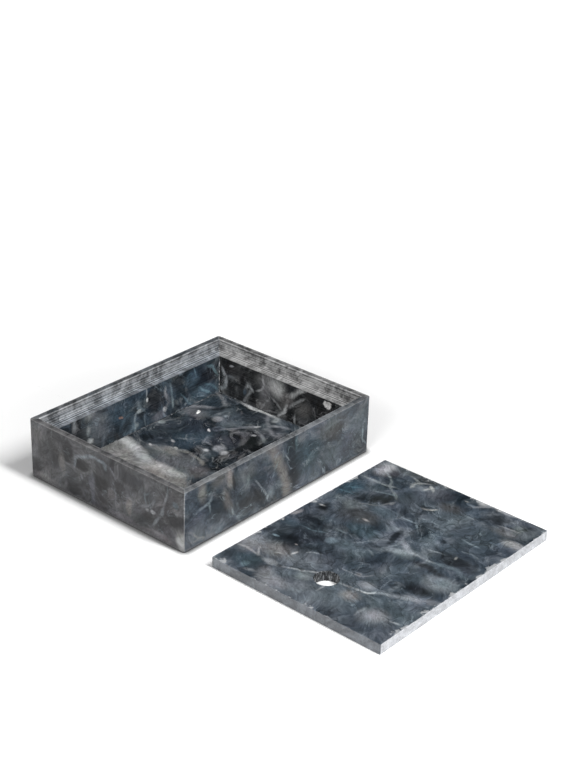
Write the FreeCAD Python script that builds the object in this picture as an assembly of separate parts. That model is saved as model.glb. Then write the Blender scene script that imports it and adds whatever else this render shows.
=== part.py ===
import FreeCAD, Part
import os

from FreeCAD import Vector

# A low rectangular box with a loose lid, glued up from thick marbled cast resin.
# Four walls are mitred where they meet and stand round a base plate that is let in
# between them. A rebate milled along the inside of their tops leaves a thin rim and a
# ledge that the lid drops onto. The lid is one flat plate with a finger hole, and lies
# on the table in front of the box.
#
# Millimetres. X runs along the box's long side, Y along its short side, Z is up.
# The origin is the middle of the box's underside, on the table.

# The box, outside
box_length = 213.0
box_width = 166.0
box_height = 50.0

# Across the top of a wall: the rim, then the ledge milled inside it
rim_width = 5.5
ledge_width = 10.0

# The plates
base_thickness = 6.7
lid_thickness = 8.3

# How the closed lid sits inside the rim: its top lies below the rim by lid_sink
lid_sink = 0.7
lid_end_gap = 1.75
lid_side_gap = 0.5

# The finger hole, on the lid's centre line, measured from the lid's left end
finger_hole_radius = 9.25
finger_hole_inset = 36.0

# Hand-sanded softening of the edges. The foot is the outer edge that the box stands on,
# and it is eased more than the rest
corner_round = 2.2
foot_round = 1.6
edge_round = 0.5
lid_corner_round = 1.4

# Where the lid lies on the table: clear of the box's front, a little off its middle
# and turned a little clockwise
lid_rest_gap = 27.0
lid_rest_shift = -7.2
lid_rest_turn = -0.6

# Sizes that follow
wall_thickness = rim_width + ledge_width
recess_length = box_length - 2 * rim_width
recess_width = box_width - 2 * rim_width
recess_depth = lid_thickness + lid_sink
ledge_height = box_height - recess_depth
well_length = box_length - 2 * wall_thickness
well_width = box_width - 2 * wall_thickness
lid_length = recess_length - 2 * lid_end_gap
lid_width = recess_width - 2 * lid_side_gap

UP = Vector(0, 0, 1)
# Each side's name, and the turn that brings the front to it
SIDES = (("front", 0), ("right", 90), ("back", 180), ("left", 270))


def block(length, width, bottom, top):
    """A block centred on the Z axis between two heights."""
    corner = Vector(-length / 2, -width / 2, bottom)
    return Part.makeBox(length, width, top - bottom, corner)


def is_upright(edge):
    """True for a straight edge that runs along Z."""
    start, end = edge.Vertexes[0].Point, edge.Vertexes[-1].Point
    return (end - start).cross(UP).Length < 1e-6


def lies_at(edge, height):
    """True for an edge that lies wholly at one height."""
    box = edge.BoundBox
    return abs(box.ZMin - height) < 1e-6 and abs(box.ZMax - height) < 1e-6


def lies_within(edge, length, width):
    """True for an edge inside or on a rectangle centred on the Z axis."""
    box = edge.BoundBox
    reach_x = max(abs(box.XMin), abs(box.XMax))
    reach_y = max(abs(box.YMin), abs(box.YMax))
    return reach_x < length / 2 + 1e-6 and reach_y < width / 2 + 1e-6


def soften_uprights(shape, radius):
    """Round the edges that run along Z."""
    return shape.makeFillet(radius, [e for e in shape.Edges if is_upright(e)])


def soften_at(shape, radius, *heights):
    """Round every edge that lies at one of the heights."""
    edges = [e for e in shape.Edges if any(lies_at(e, h) for h in heights)]
    return shape.makeFillet(radius, edges)


def open_up(shape, length, width, bottom, top):
    """Cut a rectangular opening between two heights, and round the edges of its mouth."""
    shape = shape.cut(block(length, width, bottom, top))
    mouth = [e for e in shape.Edges if lies_at(e, top) and lies_within(e, length, width)]
    return shape.makeFillet(edge_round, mouth)


def wall_ring():
    """The four walls as one ring, with the rebate and the well cut through them."""
    ring = soften_uprights(block(box_length, box_width, 0, box_height), corner_round)
    ring = soften_at(ring, foot_round, 0)
    ring = soften_at(ring, edge_round, box_height)
    ring = open_up(ring, recess_length, recess_width, ledge_height, box_height)
    return open_up(ring, well_length, well_width, 0, ledge_height)


def wall(ring, turn):
    """One side of the ring, mitred at both ends."""
    sideways = turn % 180 != 0
    length, depth = (box_width, box_length) if sideways else (box_length, box_width)
    outer, inner = -depth / 2, -depth / 2 + wall_thickness
    half = length / 2
    short = half - wall_thickness
    footprint = [(-half, outer), (half, outer), (short, inner), (-short, inner)]
    corners = [Vector(x, y, 0) for x, y in footprint]
    face = Part.Face(Part.makePolygon(corners + corners[:1]))
    prism = face.extrude(UP * box_height)
    return ring.common(prism.rotated(Vector(0, 0, 0), UP, turn))


def base_plate():
    """The plate let in between the walls, flush with their undersides."""
    return block(well_length, well_width, 0, base_thickness)


def lid():
    """The lid, lying on the table in front of the box."""
    plate = block(lid_length, lid_width, 0, lid_thickness)
    plate = soften_uprights(plate, lid_corner_round)
    hole_at = Vector(finger_hole_inset - lid_length / 2, 0, 0)
    plate = plate.cut(Part.makeCylinder(finger_hole_radius, lid_thickness, hole_at, UP))
    plate = soften_at(plate, edge_round, 0, lid_thickness)
    plate = plate.rotated(Vector(0, 0, 0), UP, lid_rest_turn)
    centre_y = -box_width / 2 - lid_rest_gap - lid_width / 2
    plate.translate(Vector(lid_rest_shift, centre_y, 0))
    return plate


def build():
    """Every piece, by its node's name."""
    ring = wall_ring()
    pieces = {"wall_" + side: wall(ring, turn) for side, turn in SIDES}
    pieces["base_plate"] = base_plate()
    pieces["lid"] = lid()
    return pieces


os.makedirs("parts", exist_ok=True)
for node, shape in build().items():
    solid = shape.Solids[0]
    solid.exportStep("parts/" + node + ".step")
    size = solid.BoundBox
    print(
        f"{node}: {len(shape.Solids)} solid, {solid.Volume / 1000:.1f} cm3,"
        f" {size.XLength:.1f} x {size.YLength:.1f} x {size.ZLength:.1f} mm"
    )
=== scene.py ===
# %% [markdown]
# # A marbled resin keepsake box with a lift-off lid
#
# The real thing is made from cast acrylic resin sheet: smoke grey, slate blue and near black, stirred
# together while it was liquid.  Four thick walls are mitred and glued around a base plate, and a rebate
# is milled along their upper inner edge, so that the flat lid drops in flush.  The lid has one round
# finger hole, and here it lies on the table beside the box.
#
# The solid shapes come in as a fixed frame from CAD.  This lesson gives them their resin, adds the glue
# beads and the cutter's marks that a maker leaves behind, and sets up a plain studio around them.

# %% Load the frame
import math

import bmesh
import bpy
from mathutils import Euler, Matrix, Vector


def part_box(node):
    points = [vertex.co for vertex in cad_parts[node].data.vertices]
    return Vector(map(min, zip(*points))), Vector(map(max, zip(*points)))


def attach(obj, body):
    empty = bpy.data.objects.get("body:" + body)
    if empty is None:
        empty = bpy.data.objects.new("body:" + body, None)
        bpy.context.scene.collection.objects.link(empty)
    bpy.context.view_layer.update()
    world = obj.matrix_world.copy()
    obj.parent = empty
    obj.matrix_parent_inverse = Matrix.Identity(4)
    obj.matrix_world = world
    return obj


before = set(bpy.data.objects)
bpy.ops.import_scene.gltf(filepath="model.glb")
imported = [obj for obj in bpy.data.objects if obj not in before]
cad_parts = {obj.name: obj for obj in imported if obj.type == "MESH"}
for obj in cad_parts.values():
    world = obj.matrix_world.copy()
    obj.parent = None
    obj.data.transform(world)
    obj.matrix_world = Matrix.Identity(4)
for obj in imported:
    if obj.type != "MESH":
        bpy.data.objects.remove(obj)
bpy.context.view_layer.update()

MM = 0.001

# %% [markdown]
# ## Sizes that the looks need
#
# Nothing is measured twice: the outside of the box, its wall thickness and its floor are all read from
# the frame's own pieces.  Only what a piece's bounding box can't tell is written here once, in
# millimetres, as a maker would note it beside the drawing: the milled rebate, and the lid's own sides and
# hole, since the lid lies turned by a fraction of a degree.

# %% Read the sizes
BOX_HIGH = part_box("wall_back")[1]
HALF_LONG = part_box("wall_right")[1].x / MM
HALF_SHORT = BOX_HIGH.y / MM
RIM_HEIGHT = BOX_HIGH.z / MM
BASE_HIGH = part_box("base_plate")[1]
FLOOR_HEIGHT = BASE_HIGH.z / MM
RIM_WIDTH = 5.5
WALL_THICKNESS = HALF_LONG - BASE_HIGH.x / MM
LEDGE_HEIGHT = 41.0
LID_LOW, LID_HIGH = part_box("lid")
LID_CENTRE = (LID_LOW + LID_HIGH) / 2
LID_THICKNESS = (LID_HIGH.z - LID_LOW.z) / MM
LID_TURN = math.radians(-0.6)
LID_LONG = 198.5
LID_SHORT = 154.0
HOLE_RADIUS = 9.25
HOLE_FROM_END = 36.0
HOLE_AT = HOLE_FROM_END - LID_LONG / 2
print("outside", 2 * HALF_LONG, 2 * HALF_SHORT, RIM_HEIGHT, "wall", round(WALL_THICKNESS, 2))
print("lid centre", [round(value / MM, 1) for value in LID_CENTRE], "thickness", LID_THICKNESS)

# %% [markdown]
# ## The camera
#
# A long lens from well back keeps the edges of the box nearly parallel.  The camera here looks down a
# little over 26 degrees from the front left corner.  It is turned by its heading first, then tipped down,
# and last rolled by a degree or two, as a tripod set by hand would leave it.

# %% Place the camera
CAMERA_PLACE = (-0.8201, -0.7783, 0.6330)
SENSOR_MM = 36.0
HEADING = math.radians(40.16)
TIPPED_DOWN = math.radians(26.41)
ROLL = math.radians(1.72)
LENS_MM = 76.0

camera_data = bpy.data.cameras.new("studio_camera")
camera_data.lens = LENS_MM
camera_data.sensor_width = SENSOR_MM
camera = bpy.data.objects.new("studio_camera", camera_data)
bpy.context.scene.collection.objects.link(camera)
aim = Euler((math.pi / 2 - TIPPED_DOWN, 0.0, HEADING - math.pi / 2)).to_matrix()
aim = aim @ Matrix.Rotation(ROLL, 3, "Z")
camera.matrix_world = Matrix.Translation(CAMERA_PLACE) @ aim.to_4x4()
bpy.context.scene.camera = camera
bpy.context.scene.view_settings.view_transform = "Standard"
print("camera stands", round(Vector(CAMERA_PLACE).length, 2), "m from the box")

# %% [markdown]
# ## Helpers for every finish
#
# Colours are chosen as sRGB hex values, the way a paint chart gives them, but Blender's shaders work in
# linear light.  One function turns a hex value into linear colour.  A second one adds a node to a
# material, with its settings, its fixed values and its links in one call, so that each finish below can
# be read from top to bottom as a recipe.  The last one starts a material with an empty node tree.

# %% Colour and node helpers
def tone(hex_value):
    """Turn an sRGB hex colour into linear light."""
    channels = []
    for start in (1, 3, 5):
        value = int(hex_value[start:start + 2], 16) / 255
        if value <= 0.04045:
            value = value / 12.92
        else:
            value = ((value + 0.055) / 1.055) ** 2.4
        channels.append(value)
    return (channels[0], channels[1], channels[2], 1.0)


def add(tree, kind, wires=None, stops=None, **settings):
    """Add one node: settings are its properties, wires its fixed values or links by socket."""
    node = tree.nodes.new(kind)
    for name, value in settings.items():
        setattr(node, name, value)
    for socket, value in (wires or {}).items():
        if isinstance(value, bpy.types.NodeSocket):
            tree.links.new(value, node.inputs[socket])
        else:
            node.inputs[socket].default_value = value
    if stops:
        ramp = node.color_ramp
        while len(ramp.elements) < len(stops):
            ramp.elements.new(0.5)
        for element, (place, colour) in zip(ramp.elements, stops):
            element.position = place
            element.color = colour
    return node


def blank_material(name):
    """Start a material with an empty node tree."""
    material = bpy.data.materials.new(name)
    material.use_nodes = True
    material.node_tree.nodes.clear()
    return material


print("slate blue in linear light:", [round(value, 3) for value in tone("#38434d")])

# %% [markdown]
# ## The floor
#
# The box stands on a seamless white sheet of paper, flat and matt.  A curved backdrop would do the same
# job, but a plain flat sheet is enough where the camera looks down.  The paper takes the shadow of the
# box, and painted shade darkens it close around the box's foot; a little light of its own, seen only by
# the camera and in reflections, lifts it to white further out.  Paper scatters light evenly, so it gets a
# plain diffuse shader without any gloss.

# %% Lay the floor sheet
SHEET_HALF = 40.0
sheet_mesh = bpy.data.meshes.new("floor_sheet")
shape = bmesh.new()
bmesh.ops.create_grid(shape, x_segments=2, y_segments=2, size=SHEET_HALF)
shape.to_mesh(sheet_mesh)
shape.free()
floor_sheet = bpy.data.objects.new("floor_sheet", sheet_mesh)
bpy.context.scene.collection.objects.link(floor_sheet)
print("floor sheet", 2 * SHEET_HALF, "m wide")

# %% White paper
CONTACT_REACH = 0.005
CONTACT_DEPTH = 2.6
BOX_SIDE_FROM = -0.096
BOX_SIDE_TO = -0.092

white_sheet = blank_material("white_paper_sheet")
tree = white_sheet.node_tree
# painted shade: ambient occlusion darkens the paper close around the dark foot of the box, where hardly
# any light gets in; the lid is thin and lets light under its edge, so this painted shade fades on its side
spot = add(tree, "ShaderNodeTexCoord")
spread = add(tree, "ShaderNodeSeparateXYZ", {0: spot.outputs["Object"]})
under_box = add(tree, "ShaderNodeMapRange",
                {"Value": spread.outputs["Y"], "From Min": BOX_SIDE_FROM, "From Max": BOX_SIDE_TO,
                 "To Max": CONTACT_DEPTH})
closed_in = add(tree, "ShaderNodeAmbientOcclusion", {"Distance": CONTACT_REACH}, samples=8)
dimmed = add(tree, "ShaderNodeMath", {0: closed_in.outputs["AO"], 1: under_box.outputs[0]},
             operation="POWER")
dimmed = add(tree, "ShaderNodeMix", {0: dimmed.outputs[0], 6: tone("#26282a"), 7: tone("#f3f3f3")},
             data_type="RGBA")
paper = add(tree, "ShaderNodeBsdfDiffuse", {"Color": dimmed.outputs[2]})
print("paper is dimmed up to", CONTACT_REACH / MM, "mm from the foot of the box")

# %% Lift the paper to white
LIFT_NEAR = 0.04
LIFT_FAR = 0.95
LIFT_START = 0.15
LIFT_END = 0.45

# only the camera, gloss and what is seen through glass get the lift
ray = add(tree, "ShaderNodeLightPath")
seen = add(tree, "ShaderNodeMath", {0: ray.outputs["Is Camera Ray"], 1: ray.outputs["Is Glossy Ray"]},
           operation="MAXIMUM")
seen = add(tree, "ShaderNodeMath", {0: seen.outputs[0], 1: ray.outputs["Is Transmission Ray"]},
           operation="MAXIMUM")
far = add(tree, "ShaderNodeVectorMath", {0: spot.outputs["Object"]}, operation="LENGTH")
lift = add(tree, "ShaderNodeMapRange",
           {"Value": far.outputs["Value"], "From Min": LIFT_START, "From Max": LIFT_END,
            "To Min": LIFT_NEAR, "To Max": LIFT_FAR}, interpolation_type="SMOOTHSTEP")
lift = add(tree, "ShaderNodeMath", {0: seen.outputs[0], 1: lift.outputs[0]}, operation="MULTIPLY")
glow = add(tree, "ShaderNodeEmission", {"Color": (1, 1, 1, 1), "Strength": lift.outputs[0]})
both = add(tree, "ShaderNodeAddShader", {0: paper.outputs[0], 1: glow.outputs[0]})
add(tree, "ShaderNodeOutputMaterial", {"Surface": both.outputs[0]})
sheet_mesh.materials.append(white_sheet)
print("paper lifted to white from", LIFT_START, "to", LIFT_END, "m out")

# %% [markdown]
# ## The light
#
# The light on the object stays at a plain level, at which a colour comes out about as it is written.  A
# tall, narrow softbox stands a little to the right of the front and looks down steeply: it makes the
# front edges brighter than the left ones, a dark narrow shadow beside the box and a longer one behind
# it.  A broad, weaker fill lamp at the left and a dim sky keep the shadow sides open.  Area lamps are
# used because a sun or a point would draw hard shadows, which a studio avoids.

# %% Paint the sky
SKY_LOW = 0.03
SKY_HIGH = 0.36
SKY_BRIGHT_SIDE = Vector((-0.75, -0.35, 0.56))

world = bpy.data.worlds.new("studio_sky")
bpy.context.scene.world = world
world.use_nodes = True
tree = world.node_tree
tree.nodes.clear()
toward = add(tree, "ShaderNodeTexCoord")
facing = add(tree, "ShaderNodeVectorMath",
             {0: toward.outputs["Generated"], 1: SKY_BRIGHT_SIDE}, operation="DOT_PRODUCT")
sky_level = add(tree, "ShaderNodeMapRange",
                {"Value": facing.outputs["Value"], "From Min": -0.3, "From Max": 0.9,
                 "To Min": SKY_LOW, "To Max": SKY_HIGH}, interpolation_type="SMOOTHSTEP")
# only the camera sees the sky as white paper that goes on; the object is lit by the dim sky
eye = add(tree, "ShaderNodeLightPath")
shown = add(tree, "ShaderNodeMix", {0: eye.outputs["Is Camera Ray"], 2: sky_level.outputs[0], 3: 1.0},
            data_type="FLOAT")
sky = add(tree, "ShaderNodeBackground", {"Color": (1, 1, 1, 1), "Strength": shown.outputs[0]})
add(tree, "ShaderNodeOutputWorld", {"Surface": sky.outputs[0]})
print("sky from", SKY_LOW, "to", SKY_HIGH)


# %% Hang the lamps
def hang_lamp(name, place, watts, width, height):
    """Hang one soft rectangular lamp that faces the middle of the box."""
    lamp_data = bpy.data.lights.new(name, "AREA")
    lamp_data.shape = "RECTANGLE"
    lamp_data.size = width
    lamp_data.size_y = height
    lamp_data.energy = watts
    lamp = bpy.data.objects.new(name, lamp_data)
    bpy.context.scene.collection.objects.link(lamp)
    lamp.location = place
    lamp.rotation_euler = (-place).to_track_quat("-Z", "Y").to_euler()
    print(name, watts, "W at", [round(value, 2) for value in place])


hang_lamp("strip_softbox", Vector((0.10, -1.143, 1.638)), 36.0, 0.25, 0.90)
hang_lamp("fill_lamp", Vector((-1.62, -0.50, 0.95)), 16.0, 0.70, 0.70)

# %% [markdown]
# ## Marbled cast resin
#
# Acrylic resin is stirred with smoke, slate and ink pigments and cast into blocks, so its marbling runs
# right through the sheet: sawing or milling it opens the same clouds on the new face.  A picture wrapped
# around the box would break at every edge.  The pattern here is solid instead: it is read from Object
# coordinates in millimetres, so that faces cut through it fit their neighbours.
#
# The recipe has seven steps, each a short function below.  It bends the space as the stirring and the
# pour did, fills it with a slow drift from dark to paler pigment and with smoke clouds, makes the wisps
# that tear pigment apart, sets the marks that this sheet is known by, beads it with drops, draws thin
# veins, and last lets the tint wander and adds the grain.  Each piece is cut from another part of a
# block, so each gets its own offset.

# %% The resin's colours
INK = "#0b0f13"
SMOKE = "#767778"
CLOUD = "#a3a4a5"
CHALK = "#d2d2d0"
WHITE = (1.0, 1.0, 1.0, 1.0)


def even(level):
    """A grey level as a colour in linear light."""
    return (level, level, level, 1.0)


print("pigments:", INK, SMOKE, CLOUD, CHALK)

# %% [markdown]
# ### Stirring and pouring
#
# Stirred liquid carries its pigment along in swirls, and a pour draws the swirls out down the slope.  A
# noise can't swirl by itself, but the place it is read at can be pushed aside by a second, slower noise.
# That is done twice here, for the slow stirring and for the small eddies, with a stretch between them.

# %% Stir and pour
SWIRL_MM = 45
SWIRL_REACH = 45
EDDY_MM = 9
POUR_TURN = (math.radians(63.6), 0.0, math.radians(-49.8))


def push_aside(tree, place, push, reach, still=0.5):
    """Move a place by a noise; where the noise has the value still, the place stays."""
    middle = add(tree, "ShaderNodeVectorMath", {0: push, 1: (still, still, still)},
                 operation="SUBTRACT")
    moved = add(tree, "ShaderNodeVectorMath",
                {0: middle.outputs[0], 1: (reach, reach, reach), 2: place}, operation="MULTIPLY_ADD")
    return moved.outputs[0]


def stir_and_pour(tree, centre, turn, offset, drawn, eddy):
    """Bend the space of one piece; return its places in mm and the noises that bent them."""
    coordinates = add(tree, "ShaderNodeTexCoord")
    place = add(tree, "ShaderNodeMapping",
                {"Vector": coordinates.outputs["Object"], "Location": centre, "Rotation": turn,
                 "Scale": (MM, MM, MM)}, vector_type="TEXTURE").outputs[0]
    moved = add(tree, "ShaderNodeVectorMath", {0: place, 1: offset}, operation="ADD").outputs[0]
    # slow stirring: swirls about 45 mm across push the pigment about 10 mm aside
    slow = add(tree, "ShaderNodeTexNoise", {"Vector": moved, "Scale": 1 / SWIRL_MM, "Detail": 2.0})
    stirred = push_aside(tree, moved, slow.outputs["Color"], SWIRL_REACH)
    # the pour: everything read from here on is stretched along the slope
    poured = add(tree, "ShaderNodeMapping", {"Vector": stirred, "Rotation": POUR_TURN, "Scale": drawn},
                 vector_type="TEXTURE").outputs[0]
    quick = add(tree, "ShaderNodeTexNoise",
                {"Vector": poured, "Scale": 1 / EDDY_MM, "Detail": 3.0, "Roughness": 0.5})
    flowing = push_aside(tree, poured, quick.outputs["Color"], eddy)
    return {"place": place, "moved": moved, "poured": poured, "flowing": flowing,
            "slow": slow.outputs["Fac"], "quick": quick.outputs["Fac"]}


print("swirls", SWIRL_MM, "mm across, eddies", EDDY_MM, "mm")

# %% Drift and smoke
DRIFT_MM = 22
SMOKE_MM = 12
SMOKE_FROM = 0.48
SMOKE_FULL = 0.70


def drift_and_smoke(tree, flow, drift, smoke):
    """Fill the stirred space with a slow drift of colour, and lay smoke clouds in it."""
    body = add(tree, "ShaderNodeTexNoise",
               {"Vector": flow["flowing"], "Scale": 1 / DRIFT_MM, "Detail": 4.0, "Roughness": 0.55})
    colour = add(tree, "ShaderNodeValToRGB", {"Fac": body.outputs["Fac"]}, stops=drift).outputs[0]
    cloud = add(tree, "ShaderNodeTexNoise",
                {"Vector": flow["flowing"], "Scale": 1 / SMOKE_MM, "Detail": 5.0, "Roughness": 0.62})
    smoke_colour, most = smoke
    share = add(tree, "ShaderNodeMapRange",
                {"Value": cloud.outputs["Fac"], "From Min": SMOKE_FROM, "From Max": SMOKE_FULL,
                 "To Min": 0.0, "To Max": most}, interpolation_type="SMOOTHSTEP")
    smoky = add(tree, "ShaderNodeMix", {0: share.outputs[0], 6: colour, 7: tone(smoke_colour)},
                data_type="RGBA")
    return smoky.outputs[2]


print("drift over", DRIFT_MM, "mm, smoke clouds of", SMOKE_MM, "mm")

# %% [markdown]
# ### Marks and their torn edges
#
# A sheet is known by its larger marks: dark pools, pale clouds, chips of hard pigment and long wisps.
# They could be drawn on a picture, but then they would lie on the skin only.  Here each is an ellipsoid
# of pigment, or a chain of them, sunk a few millimetres into the solid at a place given in millimetres.
# A smooth ellipsoid looks pasted on, so its place is bent and its depth is made ragged by the same wisps
# and hairs that run through the rest.

# %% Torn edges
WISP_MM = 6
HAIR_MM = 3
HAIR_SHARE = 0.6
BEND_MM = 13
BEND_REACH = 4
HAIR_REACH = 1.3
TEAR_REACH = 1.2
DROP_RAGGED = 0.9
WISP_RAGGED = 3.4


def tear(tree, flow):
    """Add wisps and hairs to the flow, the place that they bend, and how ragged they leave a mark."""
    wisps = add(tree, "ShaderNodeTexNoise",
                {"Vector": flow["flowing"], "Scale": 1 / WISP_MM, "Detail": 5.0, "Roughness": 0.60})
    hairs = add(tree, "ShaderNodeTexNoise",
                {"Vector": flow["poured"], "Scale": 1 / HAIR_MM, "Detail": 3.0, "Roughness": 0.7})
    # both noises lie around 0.5, so this difference lies around zero
    torn = add(tree, "ShaderNodeMath",
               {0: hairs.outputs["Fac"], 1: HAIR_SHARE, 2: wisps.outputs["Fac"]},
               operation="MULTIPLY_ADD")
    torn = add(tree, "ShaderNodeMath", {0: 0.5 + 0.5 * HAIR_SHARE, 1: torn.outputs[0]},
               operation="SUBTRACT")
    bend = add(tree, "ShaderNodeTexNoise", {"Vector": flow["moved"], "Scale": 1 / BEND_MM, "Detail": 0.0})
    bent = push_aside(tree, flow["place"], bend.outputs["Color"], BEND_REACH)
    bent = push_aside(tree, bent, hairs.outputs["Color"], HAIR_REACH)
    flow["torn place"] = push_aside(tree, bent, torn.outputs[0], TEAR_REACH, still=0.0)
    flow["wisps"] = wisps.outputs["Fac"]
    flow["bend"] = bend.outputs["Color"]
    for kind, amount in (("ragged drop", DROP_RAGGED), ("ragged wisp", WISP_RAGGED)):
        ragged = add(tree, "ShaderNodeMath", {0: torn.outputs[0], 1: amount, 2: 1.0},
                     operation="MULTIPLY_ADD")
        flow[kind] = ragged.outputs[0]


print("wisps of", WISP_MM, "mm and hairs of", HAIR_MM, "mm")

# %% One mark in the resin
MARK_EDGE = 0.5


def lay_mark(tree, flow, colour, mark):
    """Mix one soft-edged body of pigment over a colour: a pool, a cloud, a chip or a chain of wisps."""
    ellipsoids, hex_value, strength, softness = mark
    # a ball's gradient falls from 1 at its centre to MARK_EDGE at the mark's half size and 0 at twice that
    depth = None
    for centre, half_sizes, turn in ellipsoids:
        local = add(tree, "ShaderNodeMapping",
                    {"Vector": flow["torn place"], "Location": centre, "Rotation": turn,
                     "Scale": [2 * half_size for half_size in half_sizes]}, vector_type="TEXTURE")
        ball = add(tree, "ShaderNodeTexGradient", {"Vector": local.outputs[0]},
                   gradient_type="SPHERICAL").outputs["Fac"]
        if depth is None:
            depth = ball
        else:
            depth = add(tree, "ShaderNodeMath", {0: depth, 1: ball}, operation="MAXIMUM").outputs[0]
    ragged_by = flow["ragged wisp"] if len(ellipsoids) > 1 else flow["ragged drop"]
    ragged = add(tree, "ShaderNodeMath", {0: depth, 1: ragged_by}, operation="MULTIPLY")
    share = add(tree, "ShaderNodeMapRange",
                {"Value": ragged.outputs[0], "From Min": MARK_EDGE - softness / 2,
                 "From Max": MARK_EDGE + softness / 2, "To Min": 0.0, "To Max": strength},
                interpolation_type="SMOOTHSTEP")
    mixed = add(tree, "ShaderNodeMix", {0: share.outputs[0], 6: colour, 7: tone(hex_value)},
                data_type="RGBA")
    return mixed.outputs[2]


print("a mark ends where its gradient passes", MARK_EDGE)

# %% Where a mark lies
UP = "up"
ACROSS = "across"
SIDEWAYS = "sideways"
MARK_DEPTH = 7.0
WISP_SHOWS = 0.62
WISP_SOFTNESS = 0.9


def ellipsoid_on(face, level, u, v, half_u, half_v, degrees):
    """Place one ellipsoid on one face of a piece: its centre, its half sizes and its turn."""
    turn = math.radians(degrees)
    if face == UP:
        return (u, v, level), (half_u, half_v, MARK_DEPTH), (0, 0, turn)
    if face == ACROSS:
        return (u, level, v), (half_u, MARK_DEPTH, half_v), (0, -turn, 0)
    return (level, u, v), (MARK_DEPTH, half_u, half_v), (turn, 0, 0)


def marks_on(face, level, rows):
    """Set rows of (u, v, half_u, half_v, turn, colour, strength, softness) on one face of a piece."""
    marks = []
    for u, v, half_u, half_v, degrees, hex_value, strength, softness in rows:
        ellipsoid = ellipsoid_on(face, level, u, v, half_u, half_v, degrees)
        marks.append(([ellipsoid], hex_value, strength, softness))
    return marks


def wisps_on(face, level, rows):
    """Set rows of (colour, strength, half_width, points): pigment drawn out along a chain of points."""
    marks = []
    for hex_value, strength, half_width, points in rows:
        chain = []
        for (u_a, v_a), (u_b, v_b) in zip(points, points[1:]):
            half_length = math.hypot(u_b - u_a, v_b - v_a) / 2 + half_width
            degrees = math.degrees(math.atan2(v_b - v_a, u_b - u_a))
            chain.append(ellipsoid_on(face, level, (u_a + u_b) / 2, (v_a + v_b) / 2,
                                      half_length, half_width, degrees))
        marks.append((chain, hex_value, strength * WISP_SHOWS, WISP_SOFTNESS))
    return marks


print("marks reach", MARK_DEPTH, "mm deep")

# %% [markdown]
# ### Drops, veins, tint and grain
#
# Where two pigments hardly mix, one stands in the other in round drops, each with a thin dark border and
# a pale fringe: a Voronoi pattern gives both the drops and the distance to their borders.  A vein is the
# narrow band in which a warped noise passes its middle value.  The tint wanders slowly, a little warmer
# here and a little cooler there.  Last, the pigment thins and thickens at every size down to the grain;
# the real grain is finer than can be seen from here, so it is drawn as coarse as it needs to show.

# %% Bead with drops
DROP_MM = 13
DROP_REACH = 14
DROP_DARKEST = 0.74
DROP_PALEST = 1.26
PATCH_FROM = 0.40
PATCH_FULL = 0.56


def bead_with_drops(tree, flow, colour, beaded):
    """Lay drops side by side in slow patches, paler and darker; beaded says how strongly they show."""
    swirled = push_aside(tree, flow["moved"], flow["bend"], DROP_REACH)
    drops = add(tree, "ShaderNodeTexVoronoi", {"Vector": swirled, "Scale": 1 / DROP_MM})
    level = add(tree, "ShaderNodeMapRange",
                {"Value": drops.outputs["Color"], "From Min": 0.2, "From Max": 0.8,
                 "To Min": DROP_DARKEST, "To Max": DROP_PALEST})
    borders = add(tree, "ShaderNodeTexVoronoi", {"Vector": swirled, "Scale": 1 / DROP_MM},
                  feature="DISTANCE_TO_EDGE")
    fringe = add(tree, "ShaderNodeValToRGB", {"Fac": borders.outputs["Distance"]},
                 stops=[(0.0, even(0.66)), (0.02, even(0.72)), (0.05, even(1.14)), (0.12, WHITE)])
    drop = add(tree, "ShaderNodeVectorMath", {0: fringe.outputs[0], "Scale": level.outputs[0]},
               operation="SCALE")
    patchy = add(tree, "ShaderNodeMapRange",
                 {"Value": flow["slow"], "From Min": PATCH_FROM, "From Max": PATCH_FULL,
                  "To Max": beaded},
                 interpolation_type="SMOOTHSTEP")
    lined = add(tree, "ShaderNodeMix", {0: patchy.outputs[0], 6: WHITE, 7: drop.outputs[0]},
                data_type="RGBA")
    return add(tree, "ShaderNodeVectorMath", {0: colour, 1: lined.outputs[2]},
               operation="MULTIPLY").outputs[0]


print("drops of", DROP_MM, "mm")

# %% Draw veins
VEIN_MM = 18
VEIN_BAND = 0.02
VEIN_FROM = 0.48
VEIN_WHOLE = 0.64


def draw_veins(tree, flow, colour, vein):
    """Draw thin broken veins of one colour."""
    vein_colour, most = vein
    line = add(tree, "ShaderNodeTexNoise",
               {"Vector": flow["flowing"], "Scale": 1 / VEIN_MM, "Detail": 5.0, "Roughness": 0.55})
    away = add(tree, "ShaderNodeMath", {0: line.outputs["Fac"], 1: 0.5}, operation="SUBTRACT")
    away = add(tree, "ShaderNodeMath", {0: away.outputs[0]}, operation="ABSOLUTE")
    share = add(tree, "ShaderNodeMapRange",
                {"Value": away.outputs[0], "From Min": VEIN_BAND, "From Max": 0.0,
                 "To Min": 0.0, "To Max": most}, interpolation_type="SMOOTHSTEP")
    broken = add(tree, "ShaderNodeMapRange",
                 {"Value": flow["quick"], "From Min": VEIN_FROM, "From Max": VEIN_WHOLE},
                 interpolation_type="SMOOTHSTEP")
    share = add(tree, "ShaderNodeMath", {0: share.outputs[0], 1: broken.outputs[0]},
                operation="MULTIPLY")
    return add(tree, "ShaderNodeMix", {0: share.outputs[0], 6: colour, 7: tone(vein_colour)},
               data_type="RGBA").outputs[2]


print("veins wander over", VEIN_MM, "mm")

# %% Tint and grain
TINT_MM = 16
GRAIN_MM = 1.9
GRAIN_SPREAD = 0.33
THIN = 0.38
THICK = 1.72


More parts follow.
